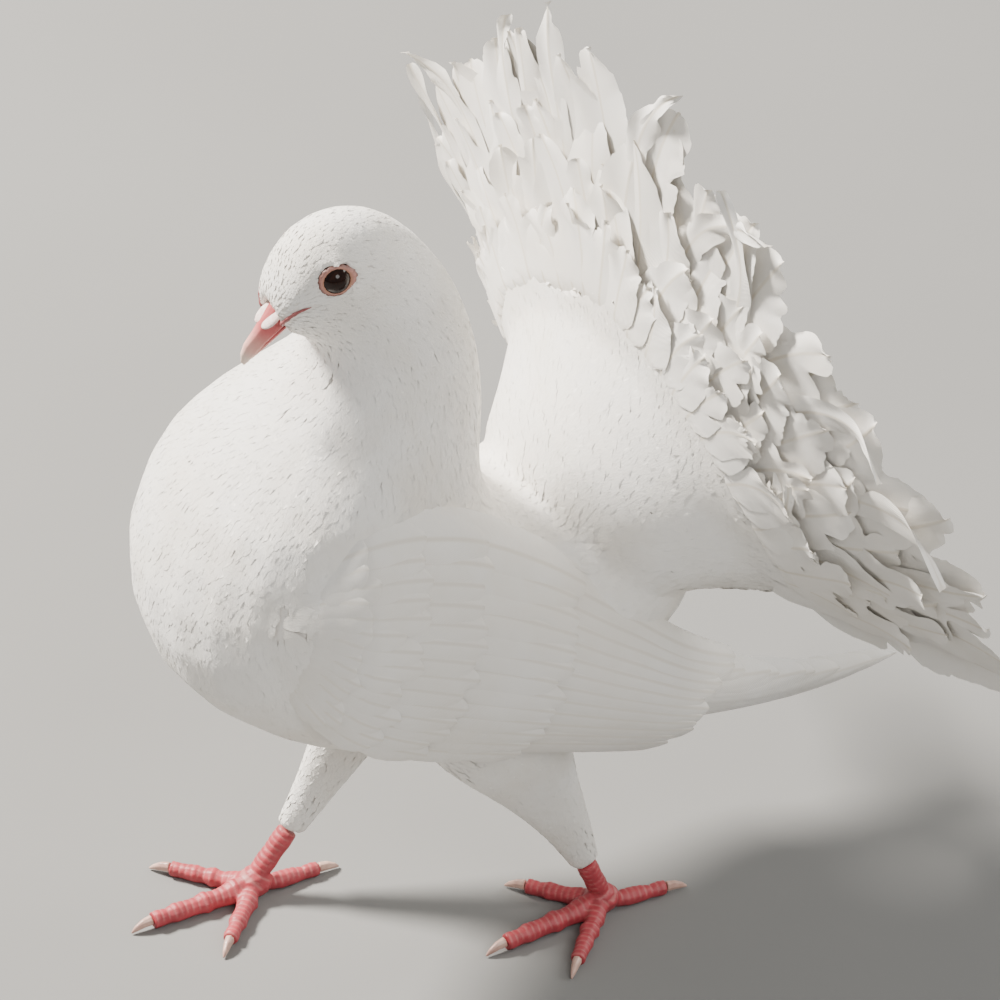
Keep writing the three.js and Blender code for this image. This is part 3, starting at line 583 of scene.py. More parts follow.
def tail_feather(rng, layer, angle, root, tip, front, half, slat, frill, flop, curl):
    """Lays one feather of the fan, sunk at its root and bent, curled and twisted by chance at its tip."""
    facing = 1 if front is ON_RAMP or front >= 0 else -1
    length = tip - root
    waist = 0.75 * rng.random() if half > 6 and rng.random() < 0.3 else 0.0
    rows, columns = (56, 12) if length > 70 else (36, 8)
    flat = barbed_vane(rng, length, half, rows, columns, frill=frill, fold=0.05 * rng.normal(), waist=waist,
                       **TAIL_VANE)
    bend = flop * rng.normal()
    curled = curl * np.clip(rng.standard_t(3), -2.4, 2.4)
    twist = 0.14 * rng.normal()

    def surface(a, b, height):
        t = np.clip(a / length, 0, 1.2)
        radius = root + a
        turn = b / np.maximum(radius, 30) * mix(0.7, 1, smooth(t * 2))
        sunk = -2.6 * facing * (1 - smooth(t * 3.2))
        base = tail_front(radius, angle + turn) + RAMP_LIFT if front is ON_RAMP else front
        rise = base + sunk + turn * slat + height * facing + curled * smooth((t - 0.6) / 0.6) ** 2
        rise = rise + twist * b * smooth((t - 0.5) / 0.6) ** 2
        return tail_point(radius, angle + turn + bend * t * t * t, rise)

    way = unit(tail_point(90.0, angle, facing * 1.0) - tail_point(90.0, angle, 0.0))
    layer.lay(flat, surface, way, TAIL_VANE_THICKNESS, half, length)


WING_TIERS = (
    # name, count, root low and high, tip low and high, half width mm, depth low and high, slat
    ("primaries", 10, ((0.5, -0.5), (0.42, 0.3)), ((0.995, 0.0), (0.80, 0.6)), 6.4, (7.2, 3.9), 0.9),
    ("secondaries", 12, ((0.36, -0.74), (0.3, 0.74)), ((0.70, -0.72), (0.79, 0.8)), 9.5, (2.6, 2.6), 0.9),
    ("greater", 13, ((0.24, -0.8), (0.2, 0.78)), ((0.50, -0.82), (0.56, 0.82)), 7.2, (1.5, 1.5), 1.0),
    ("median", 14, ((0.19, -0.8), (0.16, 0.78)), ((0.37, -0.82), (0.42, 0.8)), 6.4, (0.7, 0.7), 1.0),
    ("low lesser", 15, ((0.14, -0.78), (0.12, 0.76)), ((0.285, -0.82), (0.325, 0.8)), 5.8, (0.25, 0.25), 1.0),
    ("lesser", 15, ((0.085, -0.76), (0.075, 0.74)), ((0.215, -0.8), (0.245, 0.78)), 5.4, (0.2, 0.2), 0.9),
)


def wing_feather(rng, layer, sign, root, tip, half, depth, slat, flight):
    """Lays one feather of a folded wing, tilted like a slat so that it overlaps the next."""
    middle = (root[0] + tip[0]) / 2
    high = float(wing_half_height(np.array(middle)))
    run = (tip[0] - root[0]) * WING_LENGTH
    climb = (tip[1] - root[1]) * high
    length = math.hypot(run, climb)
    flat = barbed_vane(rng, length, half, **(FLIGHT_VANE if flight else COVERT_VANE))
    cos, sin = run / length, climb / length

    def surface(a, b, height):
        t = np.clip(a / length, 0, 1)
        u = root[0] + (a * cos - b * sin) / WING_LENGTH
        local_high = np.maximum(wing_half_height(np.clip(u, 0, 1)), 8)
        v = root[1] + (tip[1] - root[1]) * t + b * cos / local_high
        over = np.maximum(0, np.abs(v) - 0.98)
        v = np.sign(v) * (np.abs(v) - over * 0.8)
        sunk = profile(WING_BODY_DEPTH, np.clip(u, 0, 1)) + 1.2
        laid = mix(sunk, depth, smooth(t / 0.4)) + b * slat / 10 - height - 0.7 * smooth((t - 0.5) / 0.5)
        return wing_point(sign, u, v, laid)

    layer.lay(flat, surface, np.array([sign, 0.0, 0.15]), WING_VANE_THICKNESS, half, length)


# The lie of the coat: samples of the body's surfaces, each with the way that its feathers point

BODY, LEG, TAIL_FRONT, TAIL_BACK, WING = range(5)


class Lie:
    """Samples to look up by place: the way, the kind of surface and the share along it."""

    def __init__(self):
        self.places, self.ways, self.kinds, self.at = [], [], [], []

    def sample(self, kind, surface, first, second, step, sign=1):
        """Samples surface(first, second). Feathers point along growing first, or back along it."""
        u, v = (g.ravel() for g in np.meshgrid(first, second, indexing="ij"))
        here = surface(u, v)
        self.places.append(placed(here))
        self.ways.append(unit(surface(u + step, v) - surface(u - step, v)) * sign)
        self.kinds.append(np.full(len(u), kind))
        self.at.append(u)

    def ready(self):
        self.places, self.ways = np.vstack(self.places), np.vstack(self.ways)
        self.kinds, self.at = np.concatenate(self.kinds), np.concatenate(self.at)
        self.tree = KDTree(len(self.places))
        for k, p in enumerate(self.places):
            self.tree.insert(p, k)
        self.tree.balance()
        return self

    def nearest(self, places):
        return np.array([self.tree.find(p)[1] for p in places])


def coat_lie():
    """The lie of the whole coat: body, legs, both sides of the tail's root, and wings."""
    lie = Lie()
    circle = np.linspace(0, 2 * math.pi, 64, endpoint=False)
    lie.sample(BODY, body_point, np.linspace(0.015, 0.99, 150), circle, 0.008, sign=-1)
    for side in LEGS:
        line, sizes = leg_lines(side)

        def leg(t, theta, line=line, sizes=sizes):
            size = sizes(t)
            p = line(t)
            p[..., 0] += size[..., 0] * np.cos(theta)
            p[..., 1] += size[..., 1] * np.sin(theta)
            return p

        lie.sample(LEG, leg, np.linspace(0.05, 0.97, 26), circle[::3], 0.02)
    fan = np.linspace(-TAIL_SPREAD, TAIL_SPREAD, 60)
    out = np.linspace(10, RAMP_END, 32)
    behind = out[out <= TAIL_ROOT_RADIUS]
    for kind, column, radii in ((TAIL_FRONT, 1, out), (TAIL_BACK, 2, behind)):
        lie.sample(kind, lambda r, a, c=column: tail_point(r, a, tail_front(r, a, c)), radii, fan, 1.0)
    for sign in (-1, 1):
        lie.sample(WING, lambda u, v, s=sign: wing_point(s, u, v, profile(WING_BODY_DEPTH, u)),
                   np.linspace(0.01, 0.6, 36), np.linspace(-0.95, 0.95, 24), 0.01)
    return lie.ready()


LIE = coat_lie()

# At shares of the body from tail root to face: a tuft's length, half width and spacing, in mm
TUFTS = ((0, 10.5, 2.2, 1.85), (0.3, 10, 2.1, 1.8), (0.42, 9, 1.7, 1.55), (0.5, 7.8, 1.25, 1.25),
         (0.6, 6.8, 1.0, 1.1), (0.68, 5.2, 0.85, 0.98), (0.8, 3.8, 0.68, 0.8), (0.92, 2.8, 0.52, 0.68),
         (1, 2, 0.42, 0.56))
COAT_DEPTH = ((0, 0.8), (0.3, 0.8), (0.5, 0.7), (0.62, 0.6), (0.75, 0.42), (0.9, 0.32), (1, 0.25))
# The same with the coat's depth, for a leg's top and foot, the fan's root and the wing's front
LEG_TUFTS = ((7.5, 1.7, 1.7, 0.6), (3.6, 0.8, 1.0, 0.6))
FAN_TUFT = (9.0, 2.1, 1.65, 0.7)
WING_TUFT = (9.0, 2.3, 1.7, 0.7)


def tuft_sizes(kinds, at):
    """Length, half width, spacing and depth of the coat for samples of the lie, in mm."""
    columns = [[(t[0], t[k]) for t in TUFTS] for k in (1, 2, 3)] + [COAT_DEPTH]
    sizes = np.stack([profile(pairs, at) for pairs in columns], -1)
    for kind, fixed in ((TAIL_FRONT, FAN_TUFT), (TAIL_BACK, FAN_TUFT), (WING, WING_TUFT)):
        sizes[kinds == kind] = fixed
    low = kinds == LEG
    sizes[low] = mix(*np.array(LEG_TUFTS), smooth(at[low])[:, None])
    return sizes


def wing_arm(sign):
    """The wing's own flesh, under its feathers, as a closed object."""
    rings, columns = 14, 10
    sections = []
    for i in range(rings + 1):
        u = np.array(mix(0.0, WING_BODY_END, i / rings))
        reach = 0.97 * math.sqrt(min(1, 0.3 + 4 * i / rings))
        depth = float(profile(WING_BODY_DEPTH, u))
        outer = [wing_point(sign, u, np.array(mix(-reach, reach, j / columns)), depth)
                 for j in range(columns + 1)]
        inner = []
        for j in range(columns - 1):
            v = mix(reach, -reach, (j + 1) / columns)
            thick = float(profile(WING_THICKNESS, u)) * math.sqrt(1.02 - (v / reach) ** 2)
            inner.append(wing_point(sign, u, np.array(v), depth + thick + 2.5))
        sections.append(outer + inner)
    points, faces = lofted(sections)
    return mesh_object("wing_arm", placed(points), faces)


def tail_root():
    """The fleshy fan that the tail feathers grow from, as a closed object."""
    sections = []
    for angle in np.linspace(-TAIL_SPREAD, TAIL_SPREAD, 33):
        end = RAMP_END + 2.5 * math.sin(5.0 * angle) + 2.0 * math.sin(9.0 * angle + 1)
        radii = np.array([s[0] for s in TAIL_SECTION] + [end], float)
        fronts = tail_point(radii, angle, tail_front(radii, angle))
        backs = tail_front(radii, angle, 2)
        backs[-1] *= 0.2
        rears = tail_point(radii, angle, backs)[::-1]
        sections.append(list(fronts) + list(rears))
    points, faces = lofted(sections)
    return mesh_object("tail_root", placed(points), faces)


# Materials


def material(name, roughness, **inputs):
    """A new material, its nodes, its shader and the Object coordinates."""
    made = bpy.data.materials.new(name)
    made.use_nodes = True
    shader = made.node_tree.nodes["Principled BSDF"]
    shader.inputs["Roughness"].default_value = roughness
    for key, value in inputs.items():
        shader.inputs[key.replace("_", " ")].default_value = value
    return made, made.node_tree, shader, node(made.node_tree, "ShaderNodeTexCoord").outputs["Object"]


def node(tree, kind, inputs=(), **settings):
    made = tree.nodes.new(kind)
    for key, value in settings.items():
        setattr(made, key, value)
    for key, value in dict(inputs).items():
        if isinstance(value, bpy.types.NodeSocket):
            tree.links.new(value, made.inputs[key])
        else:
            made.inputs[key].default_value = value
    return made


def ramp(tree, factor, *stops):
    made = node(tree, "ShaderNodeValToRGB", {"Fac": factor})
    elements = made.color_ramp.elements
    while len(elements) < len(stops):
        elements.new(0.5)
    for element, (place, colour) in zip(elements, stops):
        element.position = place
        element.color = (*colour, 1)
    return made.outputs["Color"]


def blended(tree, share, first, second):
    return node(tree, "ShaderNodeMix", {"Factor": share, 6: first, 7: second}, data_type="RGBA").outputs[2]


def coloured(tree, shader, colour):
    tree.links.new(colour, shader.inputs["Base Color"])


def dimmed(colour, share):
    return tuple(share * c for c in colour)


def math_node(tree, operation, a, b=None):
    inputs = {0: a} if b is None else {0: a, 1: b}
    return node(tree, "ShaderNodeMath", inputs, operation=operation).outputs[0]


def plus(tree, value, extra, share):
    """A value and a share of another."""
    return math_node(tree, "ADD", value, math_node(tree, "MULTIPLY", extra, share))


def noise(tree, vector, scale, detail=3.0, roughness=0.5):
    return node(tree, "ShaderNodeTexNoise", {"Vector": vector, "Scale": scale, "Detail": detail,
                                            "Roughness": roughness}).outputs["Fac"]


def bump(tree, shader, height, strength, distance):
    made = node(tree, "ShaderNodeBump", {"Height": height, "Strength": strength, "Distance": distance})
    tree.links.new(made.outputs["Normal"], shader.inputs["Normal"])


BARB_SPACING = 0.42
BARB_DEPTH = 0.00003


def feather_material(name, colours, quill):
    """White vane with a creamy shaft, fine barbs that follow its own map, and faint stains."""
    made, tree, shader, place = material(name, 0.6, Sheen_Weight=0.1, Sheen_Roughness=0.5)
    uv = node(tree, "ShaderNodeUVMap", uv_map="Vane").outputs["UV"]
    split = node(tree, "ShaderNodeSeparateXYZ", {"Vector": uv}).outputs
    side = math_node(tree, "ABSOLUTE", split["Y"])
    turns = math_node(tree, "MULTIPLY", split["X"], 62.8 / BARB_SPACING)
    lines = math_node(tree, "SINE", plus(tree, turns, noise(tree, place, 260.0, 2.0), 7.0))
    wide = node(tree, "ShaderNodeMapRange", {"Value": side, "From Min": 0.02, "From Max": 0.075}).outputs[0]
    tint = ramp(tree, noise(tree, place, 38.0, 4.0, 0.6), (0.25, colours.shade), (0.62, colours.white))
    coloured(tree, shader, blended(tree, wide, (*quill, 1), tint))
    barbs = math_node(tree, "MULTIPLY", lines, wide)
    bump(tree, shader, plus(tree, barbs, noise(tree, place, 900.0, 2.0), 0.8), 0.8, BARB_DEPTH)
    return made


def coat_material(name, colours):
    """Body feathers: white with soft streaks along each tuft."""
    made, tree, shader, place = material(name, 0.75, Sheen_Weight=0.2, Sheen_Roughness=0.6)
    uv = node(tree, "ShaderNodeUVMap", uv_map="Vane").outputs["UV"]
    stretched = node(tree, "ShaderNodeMapping", {"Vector": uv, "Scale": (3.0, 22.0, 1.0)}).outputs["Vector"]
    shifted = node(tree, "ShaderNodeVectorMath", {0: stretched, 1: place}, operation="ADD").outputs[0]
    blotch = noise(tree, place, 45.0, 4.0, 0.6)
    coloured(tree, shader, ramp(tree, blotch, (0.28, colours.shade), (0.6, colours.white)))
    bump(tree, shader, noise(tree, shifted, 3.0, 3.0, 0.6), 0.7, 0.0002)
    return made


def skin_material(name, colour, dark, scale=420.0, roughness=0.55, depth=0.0002):
    """Bare or hidden skin: mottled colour and fine bumps."""
    made, tree, shader, place = material(name, roughness)
    coloured(tree, shader, ramp(tree, noise(tree, place, scale, 4.0), (0.3, dark), (0.65, colour)))
    bump(tree, shader, noise(tree, place, scale * 2.2, 3.0), 0.6, depth)
    return made


def finish(o, made, slot, *nodes):
    """Gives a finished piece its material and its place on the bird, and hides the nodes that it stands for.
    """
    o.data.materials.clear()
    o.data.materials.append(made)
    if nodes:
        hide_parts(*nodes)
    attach(o, "root")
    return o


# What a user may change


class PlumageSizes(bpy.types.PropertyGroup):
    skin_voxel: bpy.props.FloatProperty(
        name="Skin detail", description="Size of the skin's mesh", default=0.0015, unit="LENGTH")
    tuft_scale: bpy.props.FloatProperty(
        name="Tuft size", description="Share of the usual length of a body feather", default=1.0)
    seed: bpy.props.IntProperty(name="Seed", description="Start of every random draw", default=7)
    white: bpy.props.FloatVectorProperty(
        name="White", description="Colour of the clean plumage", default=(0.90, 0.88, 0.84), subtype="COLOR")
    shade: bpy.props.FloatVectorProperty(
        name="Cream", description="Colour of the creamy plumage", default=(0.84, 0.80, 0.73), subtype="COLOR")


class HeadColours(bpy.types.PropertyGroup):
    iris: bpy.props.FloatVectorProperty(
        name="Eye", description="Dark brown of the eye", default=(0.020, 0.006, 0.003), subtype="COLOR")
    ring: bpy.props.FloatVectorProperty(
        name="Eye ring", description="Bare skin round the eye", default=(0.46, 0.22, 0.18), subtype="COLOR")
    bill: bpy.props.FloatVectorProperty(
        name="Bill", description="Rosy horn of the bill", default=(0.56, 0.12, 0.12), subtype="COLOR")
    feet: bpy.props.FloatVectorProperty(
        name="Feet", description="Red skin of the feet", default=(0.46, 0.055, 0.07), subtype="COLOR")


class StudioSettings(bpy.types.PropertyGroup):
    lens: bpy.props.FloatProperty(
        name="Lens", description="Focal length of the camera in millimetres", default=300.67, subtype="NONE")
    floor: bpy.props.FloatVectorProperty(
        name="Floor", description="Pale colour of the floor", default=(0.22, 0.22, 0.215), subtype="COLOR")


# Pieces

BUILT = {}
# Shares of the body's length where the neck and the head begin, for the coat's pieces
NECK_COAT, HEAD_COAT = 0.47, 0.735
# Places without tufts, in mm: reach round the eye and the mouth, and balls along the bill
EYE_BARE = 4.95
MOUTH_BARE = 0.85
BILL_BARE = ((2, 0.5, 4.6), (7.5, 2.3, 4.9), (12, 2.5, 4.4), (16, 1, 4.0))


def region_of(kinds, at):
    """Name of the coat piece for each sample of the lie."""
    body = np.where(at >= NECK_COAT, "coat_neck", "coat_body")
    names = np.where(at >= HEAD_COAT, "coat_head", body).astype("<U12")
    names[kinds == LEG] = "coat_legs"
    names[(kinds == TAIL_FRONT) | (kinds == TAIL_BACK)] = "coat_rump"
    names[kinds == WING] = "coat_wings"
    return names


def eye_frame(sign):
    """Centre of an eye, and the way that it looks."""
    centre = placed(turned((sign * EYE_CENTRE[0], EYE_CENTRE[1], EYE_CENTRE[2]), HEAD_TURN))
    return centre, turned(unit(np.array([sign, -0.2, 0.12])), HEAD_TURN)


def bill_point(along, above, side):
    """A point of the bill: along it from the gape, above its closing line, and to the side."""
    forward = np.array([0, -math.cos(BILL_PITCH), -math.sin(BILL_PITCH)])
    upward = np.array([0, -math.sin(BILL_PITCH), math.cos(BILL_PITCH)])
    p = np.array(GAPE, float) + forward * along + upward * above
    return turned((side, p[1], p[2]), HEAD_TURN)


def surface_tree(o):
    """An object's surface, to find the nearest place on."""
    mesh = o.data
    return BVHTree.FromPolygons([v.co for v in mesh.vertices], [tuple(p.vertices) for p in mesh.polygons])


def mouth_line(sign):
    """Places and normals on the skin of the line that carries the mouth on behind the bill."""
    tree = surface_tree(BUILT["skin"])
    line = []
    for t in np.linspace(0, 1, 16):
        aim = placed(bill_point(mix(7.6, -1.8, t), 3.1 + 2.0 * math.sin(2.5 * t), sign * mix(5.4, 11.2, t)))
        line.append([np.array(v) for v in tree.find_nearest(aim)[:2]])
    return line


def bare(places):
    """True where no tuft may lie: on the eyes and their rings, the cere and the bill."""
    hidden = np.zeros(len(places), bool)
    for sign in (-1, 1):
        centre, outward = eye_frame(sign)
        away = places - centre
        deep = away @ outward
        wide = np.linalg.norm(away - deep[:, None] * outward, axis=1)
        hidden |= (deep > 0) & (wide < EYE_BARE * MM)
    balls = [(placed(bill_point(along, above, 0)), radius) for along, above, radius in BILL_BARE]
    balls += [(spot, MOUTH_BARE) for sign in (-1, 1) for spot, _ in mouth_line(sign)]
    for spot, radius in balls:
        hidden |= np.linalg.norm(places - spot, axis=1) < radius * MM
    return hidden


def make_skin(settings):
    """The flesh, the wings' arms and the tail's root as one mesh, sunk by the depth of the coat."""
    arms = [wing_arm(-1), wing_arm(1), tail_root()]
    skin = joined_copy("skin", FLESH, arms)
    remeshed(skin, settings.skin_voxel, 6)
    co, n = points_of(skin), normals_of(skin)
    index = LIE.nearest(co)
    depth = tuft_sizes(LIE.kinds[index], LIE.at[index])[:, 3] * MM
    near = np.full(len(co), np.inf)
    for sign in (-1, 1):
        near = np.minimum(near, np.linalg.norm(co - eye_frame(sign)[0], axis=1))
    # The skin keeps to the solids close round the eyes
    depth *= smooth((near / MM - 5.0) / 3.0)
    set_points(skin, co - n * depth[:, None])
    with_modifier(skin, "SMOOTH", factor=0.5, iterations=3)
    in_edit_mode(skin, lambda: bpy.ops.uv.smart_project(angle_limit=math.radians(66), island_margin=0.002))
    skin.data.uv_layers[0].name = "OFBake"
    return skin


class PIGEON_OT_skin(bpy.types.Operator):
    """One skin for all the flesh, inside the solids by the depth of the coat"""
    bl_idname = "pigeon.skin"
    bl_label = "Skin"

    def execute(self, context):
        settings = context.scene.pigeon_plumage
        skin = make_skin(settings)
        made = skin_material("under_plumage", (0.88, 0.85, 0.80), (0.80, 0.75, 0.69))
        finish(skin, made, "plumage", *FLESH)
        BUILT["skin"] = skin
        return {"FINISHED"}


def faces_of(skin):
    """Centres, normals, areas and baked places of the skin's faces."""
    faces = skin.data.polygons
    starts, totals = (read(faces, key, kind=np.int32) for key in ("loop_start", "loop_total"))
    uv = read(skin.data.uv_layers["OFBake"].uv, "vector", 2)
    return (read(faces, "center", 3).astype(float), read(faces, "normal", 3).astype(float),
            read(faces, "area"), uv[starts + totals // 2] * 0.5 + uv[starts] * 0.5)


NEIGHBOURS = tuple(product((-1, 0, 1), repeat=3))


def spread(places, spacing, rng):
    """Picks places in a random order so that no two are closer than their spacing."""
    cell = float(spacing.max())
    taken, kept = {}, []
    keys = np.floor(places / cell).astype(int)
    for k in rng.permutation(len(places)):
        (x, y, z), (px, py, pz), least = keys[k], places[k], spacing[k] ** 2
        near = (q for dx, dy, dz in NEIGHBOURS for q in taken.get((x + dx, y + dy, z + dz), ()))
        if not any((px - q[0]) ** 2 + (py - q[1]) ** 2 + (pz - q[2]) ** 2 < least for q in near):
            taken.setdefault((x, y, z), []).append((px, py, pz))
            kept.append(k)
    return np.array(kept)


# Places tried for a tuft's root on each face of the skin, and how far over the face they are spread
TRIES = 5
TRIES_REACH = 1.1
# Share of the wing's length from which its flight feathers and coverts take over from the coat
WING_COATED = 0.22


def coat_roots(skin, rng):
    """Roots of all tufts: place, way, sizes, piece and baked place of each."""
    centres, normals, areas, uv = faces_of(skin)
    index = LIE.nearest(centres)
    centres, normals, uv = (np.repeat(a, TRIES, axis=0) for a in (centres, normals, uv))
    index, reach = np.repeat(index, TRIES), np.repeat(np.sqrt(areas), TRIES)[:, None]
    kinds, at = LIE.kinds[index], LIE.at[index]
    sizes = tuft_sizes(kinds, at)
    share = rng.random((2, len(centres), 1)) - 0.5
    way = level(LIE.ways[index], normals)
    across = np.cross(normals, way)
    points = centres + (way * share[0] + across * share[1]) * reach * TRIES_REACH
    covered = (kinds == WING) & (at > WING_COATED)
    inside = bare(points) | bare(points + way * sizes[:, :1] * MM)
    keep = np.flatnonzero(~covered & ~inside)
    kept = keep[spread(points[keep], sizes[keep, 2] * MM, rng)]
    names = region_of(kinds, at)
    return points[kept], normals[kept], LIE.ways[index][kept], sizes[kept], names[kept], uv[kept]


def marched(tree, points, normals, ways, lengths, rows):
    """Stations of each tuft's shaft over the skin, with the normals and the ways there."""
    count = len(points)
    stations = np.empty((count, rows + 1, 3))
    ups = np.empty((count, rows + 1, 3))
    here, up, way = points.copy(), normals.copy(), level(ways, normals)
    stations[:, 0], ups[:, 0] = here, up
    step = (lengths / rows)[:, None]
    for i in range(1, rows + 1):
        target = here + way * step
        for k in range(count):
            here[k], up[k] = tree.find_nearest(target[k])[:2]
        up = unit(0.6 * up + 0.4 * ups[:, i - 1])
        way = level(way, up)
        stations[:, i], ups[:, i] = here, up
    return stations, ups


TUFT_STRAY = 0.09
TUFT_DROOP = 0.05
TUFT_THICKNESS = 0.1


def tuft_grids(rng, tree, points, normals, ways, sizes, rows, columns):
    """Grids of the tufts laid over the skin, in metres."""
    count = len(points)
    length = sizes[:, 0] * MM * rng.uniform(0.85, 1.15, count)
    half = sizes[:, 1] * MM * rng.uniform(0.85, 1.1, count)
    depth = sizes[:, 3] * MM
    ways = unit(ways + rng.normal(0, TUFT_STRAY, (count, 3)))
    stations, ups = marched(tree, points, normals, ways, length, rows)
    forward = unit(np.gradient(stations, axis=1))
    side = unit(np.cross(ups, forward))
    t = np.linspace(0, 1, rows + 1)
    c = np.linspace(-1, 1, columns + 1)
    # Starts under the skin, and comes up to the coat's depth at the tip
    rise = -0.35 + 1.02 * smooth(t / 0.34) + 0.34 * t
    lift = depth[:, None] * rise[None] * rng.uniform(0.96, 1.04, (count, 1))
    wide = np.interp(t, (0, 0.35, 0.7, 0.9, 1), (0.35, 0.9, 1, 0.72, 0.34))
    ragged = rng.normal(0, 0.07, (count, columns + 1)) - 0.10 * c[None] ** 2
    run = np.zeros((count, rows + 1, columns + 1))
    run[:, -1] = ragged * length[:, None]
    run[:, -2] = 0.35 * ragged * length[:, None]
    across = half[:, None, None] * wide[None, :, None] * c[None, None]
    droop = TUFT_DROOP * half[:, None, None] * wide[None, :, None] * c[None, None] ** 2
    grid = (stations[:, :, None] + ups[:, :, None] * (lift[:, :, None, None] - droop[..., None])
            + side[:, :, None] * across[..., None] + forward[:, :, None] * run[..., None])
    local = np.stack([np.broadcast_to(t[None, :, None], across.shape) * length[:, None, None] / MM / 10,
                      across / MM / 10], -1)
    return grid, ups, local, t, c


# Rows and columns of each tuft of a piece, and the share of the tuft's own normals in its shading:
# the rest is the skin's, which keeps the coat soft
COAT_GRIDS = {"coat_head": (3, 2, 0.35), "coat_neck": (4, 2, 0.7), "coat_body": (4, 2, 0.4),
              "coat_legs": (4, 2, 0.5), "coat_rump": (4, 2, 0.35), "coat_wings": (4, 2, 0.4)}
BAKE_PATCH = 0.003
# Cells along each side of the baked map of a piece of larger feathers
TAIL_CELLS, WING_CELLS = 11, 10


class PIGEON_OT_coat(bpy.types.Operator):
    """Small feathers of the head, neck, body, legs, rump and the front of the wings"""
    bl_idname = "pigeon.coat"
    bl_label = "Coat"

    def execute(self, context):
        settings = context.scene.pigeon_plumage
        rng = np.random.default_rng(settings.seed)
        skin = BUILT["skin"]
        points, normals, ways, sizes, names, uv = coat_roots(skin, rng)
        sizes[:, :2] *= settings.tuft_scale
        tree = surface_tree(skin)
        made = coat_material("body_feathers", settings)
        for name, (rows, columns, own_share) in COAT_GRIDS.items():
            mine = names == name
            grid, ups, local, t, c = tuft_grids(rng, tree, points[mine], normals[mine], ways[mine],
                                                sizes[mine], rows, columns)
            patch = np.stack(np.meshgrid(t - 0.5, c / 2, indexing="ij"), -1) * BAKE_PATCH
            bake = uv[mine][:, None, None] + patch[None]
            batch = VaneBatch()
            own = grid_normals(grid)
            own *= np.sign(np.sum(own * ups[:, :, None], -1, keepdims=True))
            seen = unit(mix(ups[:, :, None], own, own_share))
            batch.add(grid, ups[:, :, None], TUFT_THICKNESS * MM, local, bake, seen)
            finish(batch.made(name), made, "plumage")
        return {"FINISHED"}


def draw(rng, spread_share):
    """A factor drawn evenly about 1."""
    return 1 + spread_share * (2 * rng.random() - 1)


class PIGEON_OT_tail(bpy.types.Operator):
    """The upright fan: tail feathers and their tiers of coverts, before and behind"""
    bl_idname = "pigeon.tail"
    bl_label = "Tail"

    def execute(self, context):
        settings = context.scene.pigeon_plumage
        rng = np.random.default_rng(settings.seed + 1)
        made = feather_material("tail_vanes", settings, (0.74, 0.69, 0.60))
        solids = ("tail_left", "tail_middle", "tail_right")
        for name, tiers, replaced in (("tail_feathers", TAIL_TIERS[:2], solids),
                                      ("tail_coverts", TAIL_TIERS[2:5], ()),
                                      ("under_tail_coverts", TAIL_TIERS[5:], ())):
            layer = Layer(TAIL_CELLS)
            for _, count, root, tip, front, half, lift, share, *looseness in tiers:
                spacing = 2 * TAIL_SPREAD * share / count
                for k in range(count):
                    place = ((k + 0.5) / count * 2 - 1) * share
                    reach = float(profile(TAIL_REACH, math.degrees(place * TAIL_SPREAD)))
                    angle = place * TAIL_SPREAD + 0.012 * rng.normal()
                    slat = lift / spacing * (1 if place > 0 else -1)
                    reached = root + (tip * reach - root) * draw(rng, 0.14 if front is ON_RAMP else 0.06)
                    tail_feather(rng, layer, angle, root, reached, front, half * draw(rng, 0.08), slat,
                                 *looseness)
            finish(layer.made(name), made, "flight_feathers", *replaced)
        return {"FINISHED"}


class PIGEON_OT_wings(bpy.types.Operator):
    """Both folded wings: primaries, secondaries and the tiers of coverts"""
    bl_idname = "pigeon.wings"
    bl_label = "Wings"

    def execute(self, context):
        settings = context.scene.pigeon_plumage
        rng = np.random.default_rng(settings.seed + 2)
        made = feather_material("wing_vanes", settings, (0.76, 0.72, 0.65))
        for side, sign in SIDES.items():
            for name, tiers in (("flight", WING_TIERS[:2]), ("coverts", WING_TIERS[2:])):
                layer = Layer(WING_CELLS)
                for _, count, roots, tips, half, depths, slat in tiers:
                    for k in range(count):
                        share = k / (count - 1)
                        root, tip = ([mix(a, b, share) for a, b in zip(*ends)] for ends in (roots, tips))
                        tip[0] += 0.008 * rng.normal()
                        wing_feather(rng, layer, sign, root, tip, half * draw(rng, 0.06),
                                     mix(*depths, share), slat, name == "flight")
                replaced = (f"wing_{side}",) if name == "flight" else ()
                finish(layer.made(f"wing_{name}_{side}"), made, "flight_feathers", *replaced)
        return {"FINISHED"}


# The cere is flattened by a share and swollen by mm; the eye's ring has a radius and a half width in mm
CERE_FLATTENED = 0.72
CERE_SWELL = 0.4
RING_RADIUS = 4.0
RING_HALF = 0.85


def seat_in_eye(o, co, sign):
    """Turns points made about the origin to look the eye's way, at the eye's centre."""
    centre, outward = eye_frame(sign)
    turn = Vector(outward).to_track_quat("Z", "Y").to_matrix()
    set_points(o, co @ np.array(turn).T + centre)
    bpy.ops.object.shade_smooth()


def eye_ball(side, sign):
    """The ball, with a raised clear dome over its iris."""
    eye = primitive(f"eye_ball_{side}", bpy.ops.mesh.primitive_uv_sphere_add, segments=64, ring_count=40,
                    radius=EYE_RADIUS * MM)
    co = points_of(eye)
    co[:, 2] += 0.35 * MM * smooth((co[:, 2] / (EYE_RADIUS * MM) - 0.72) / 0.28)
    seat_in_eye(eye, co, sign)
    return eye


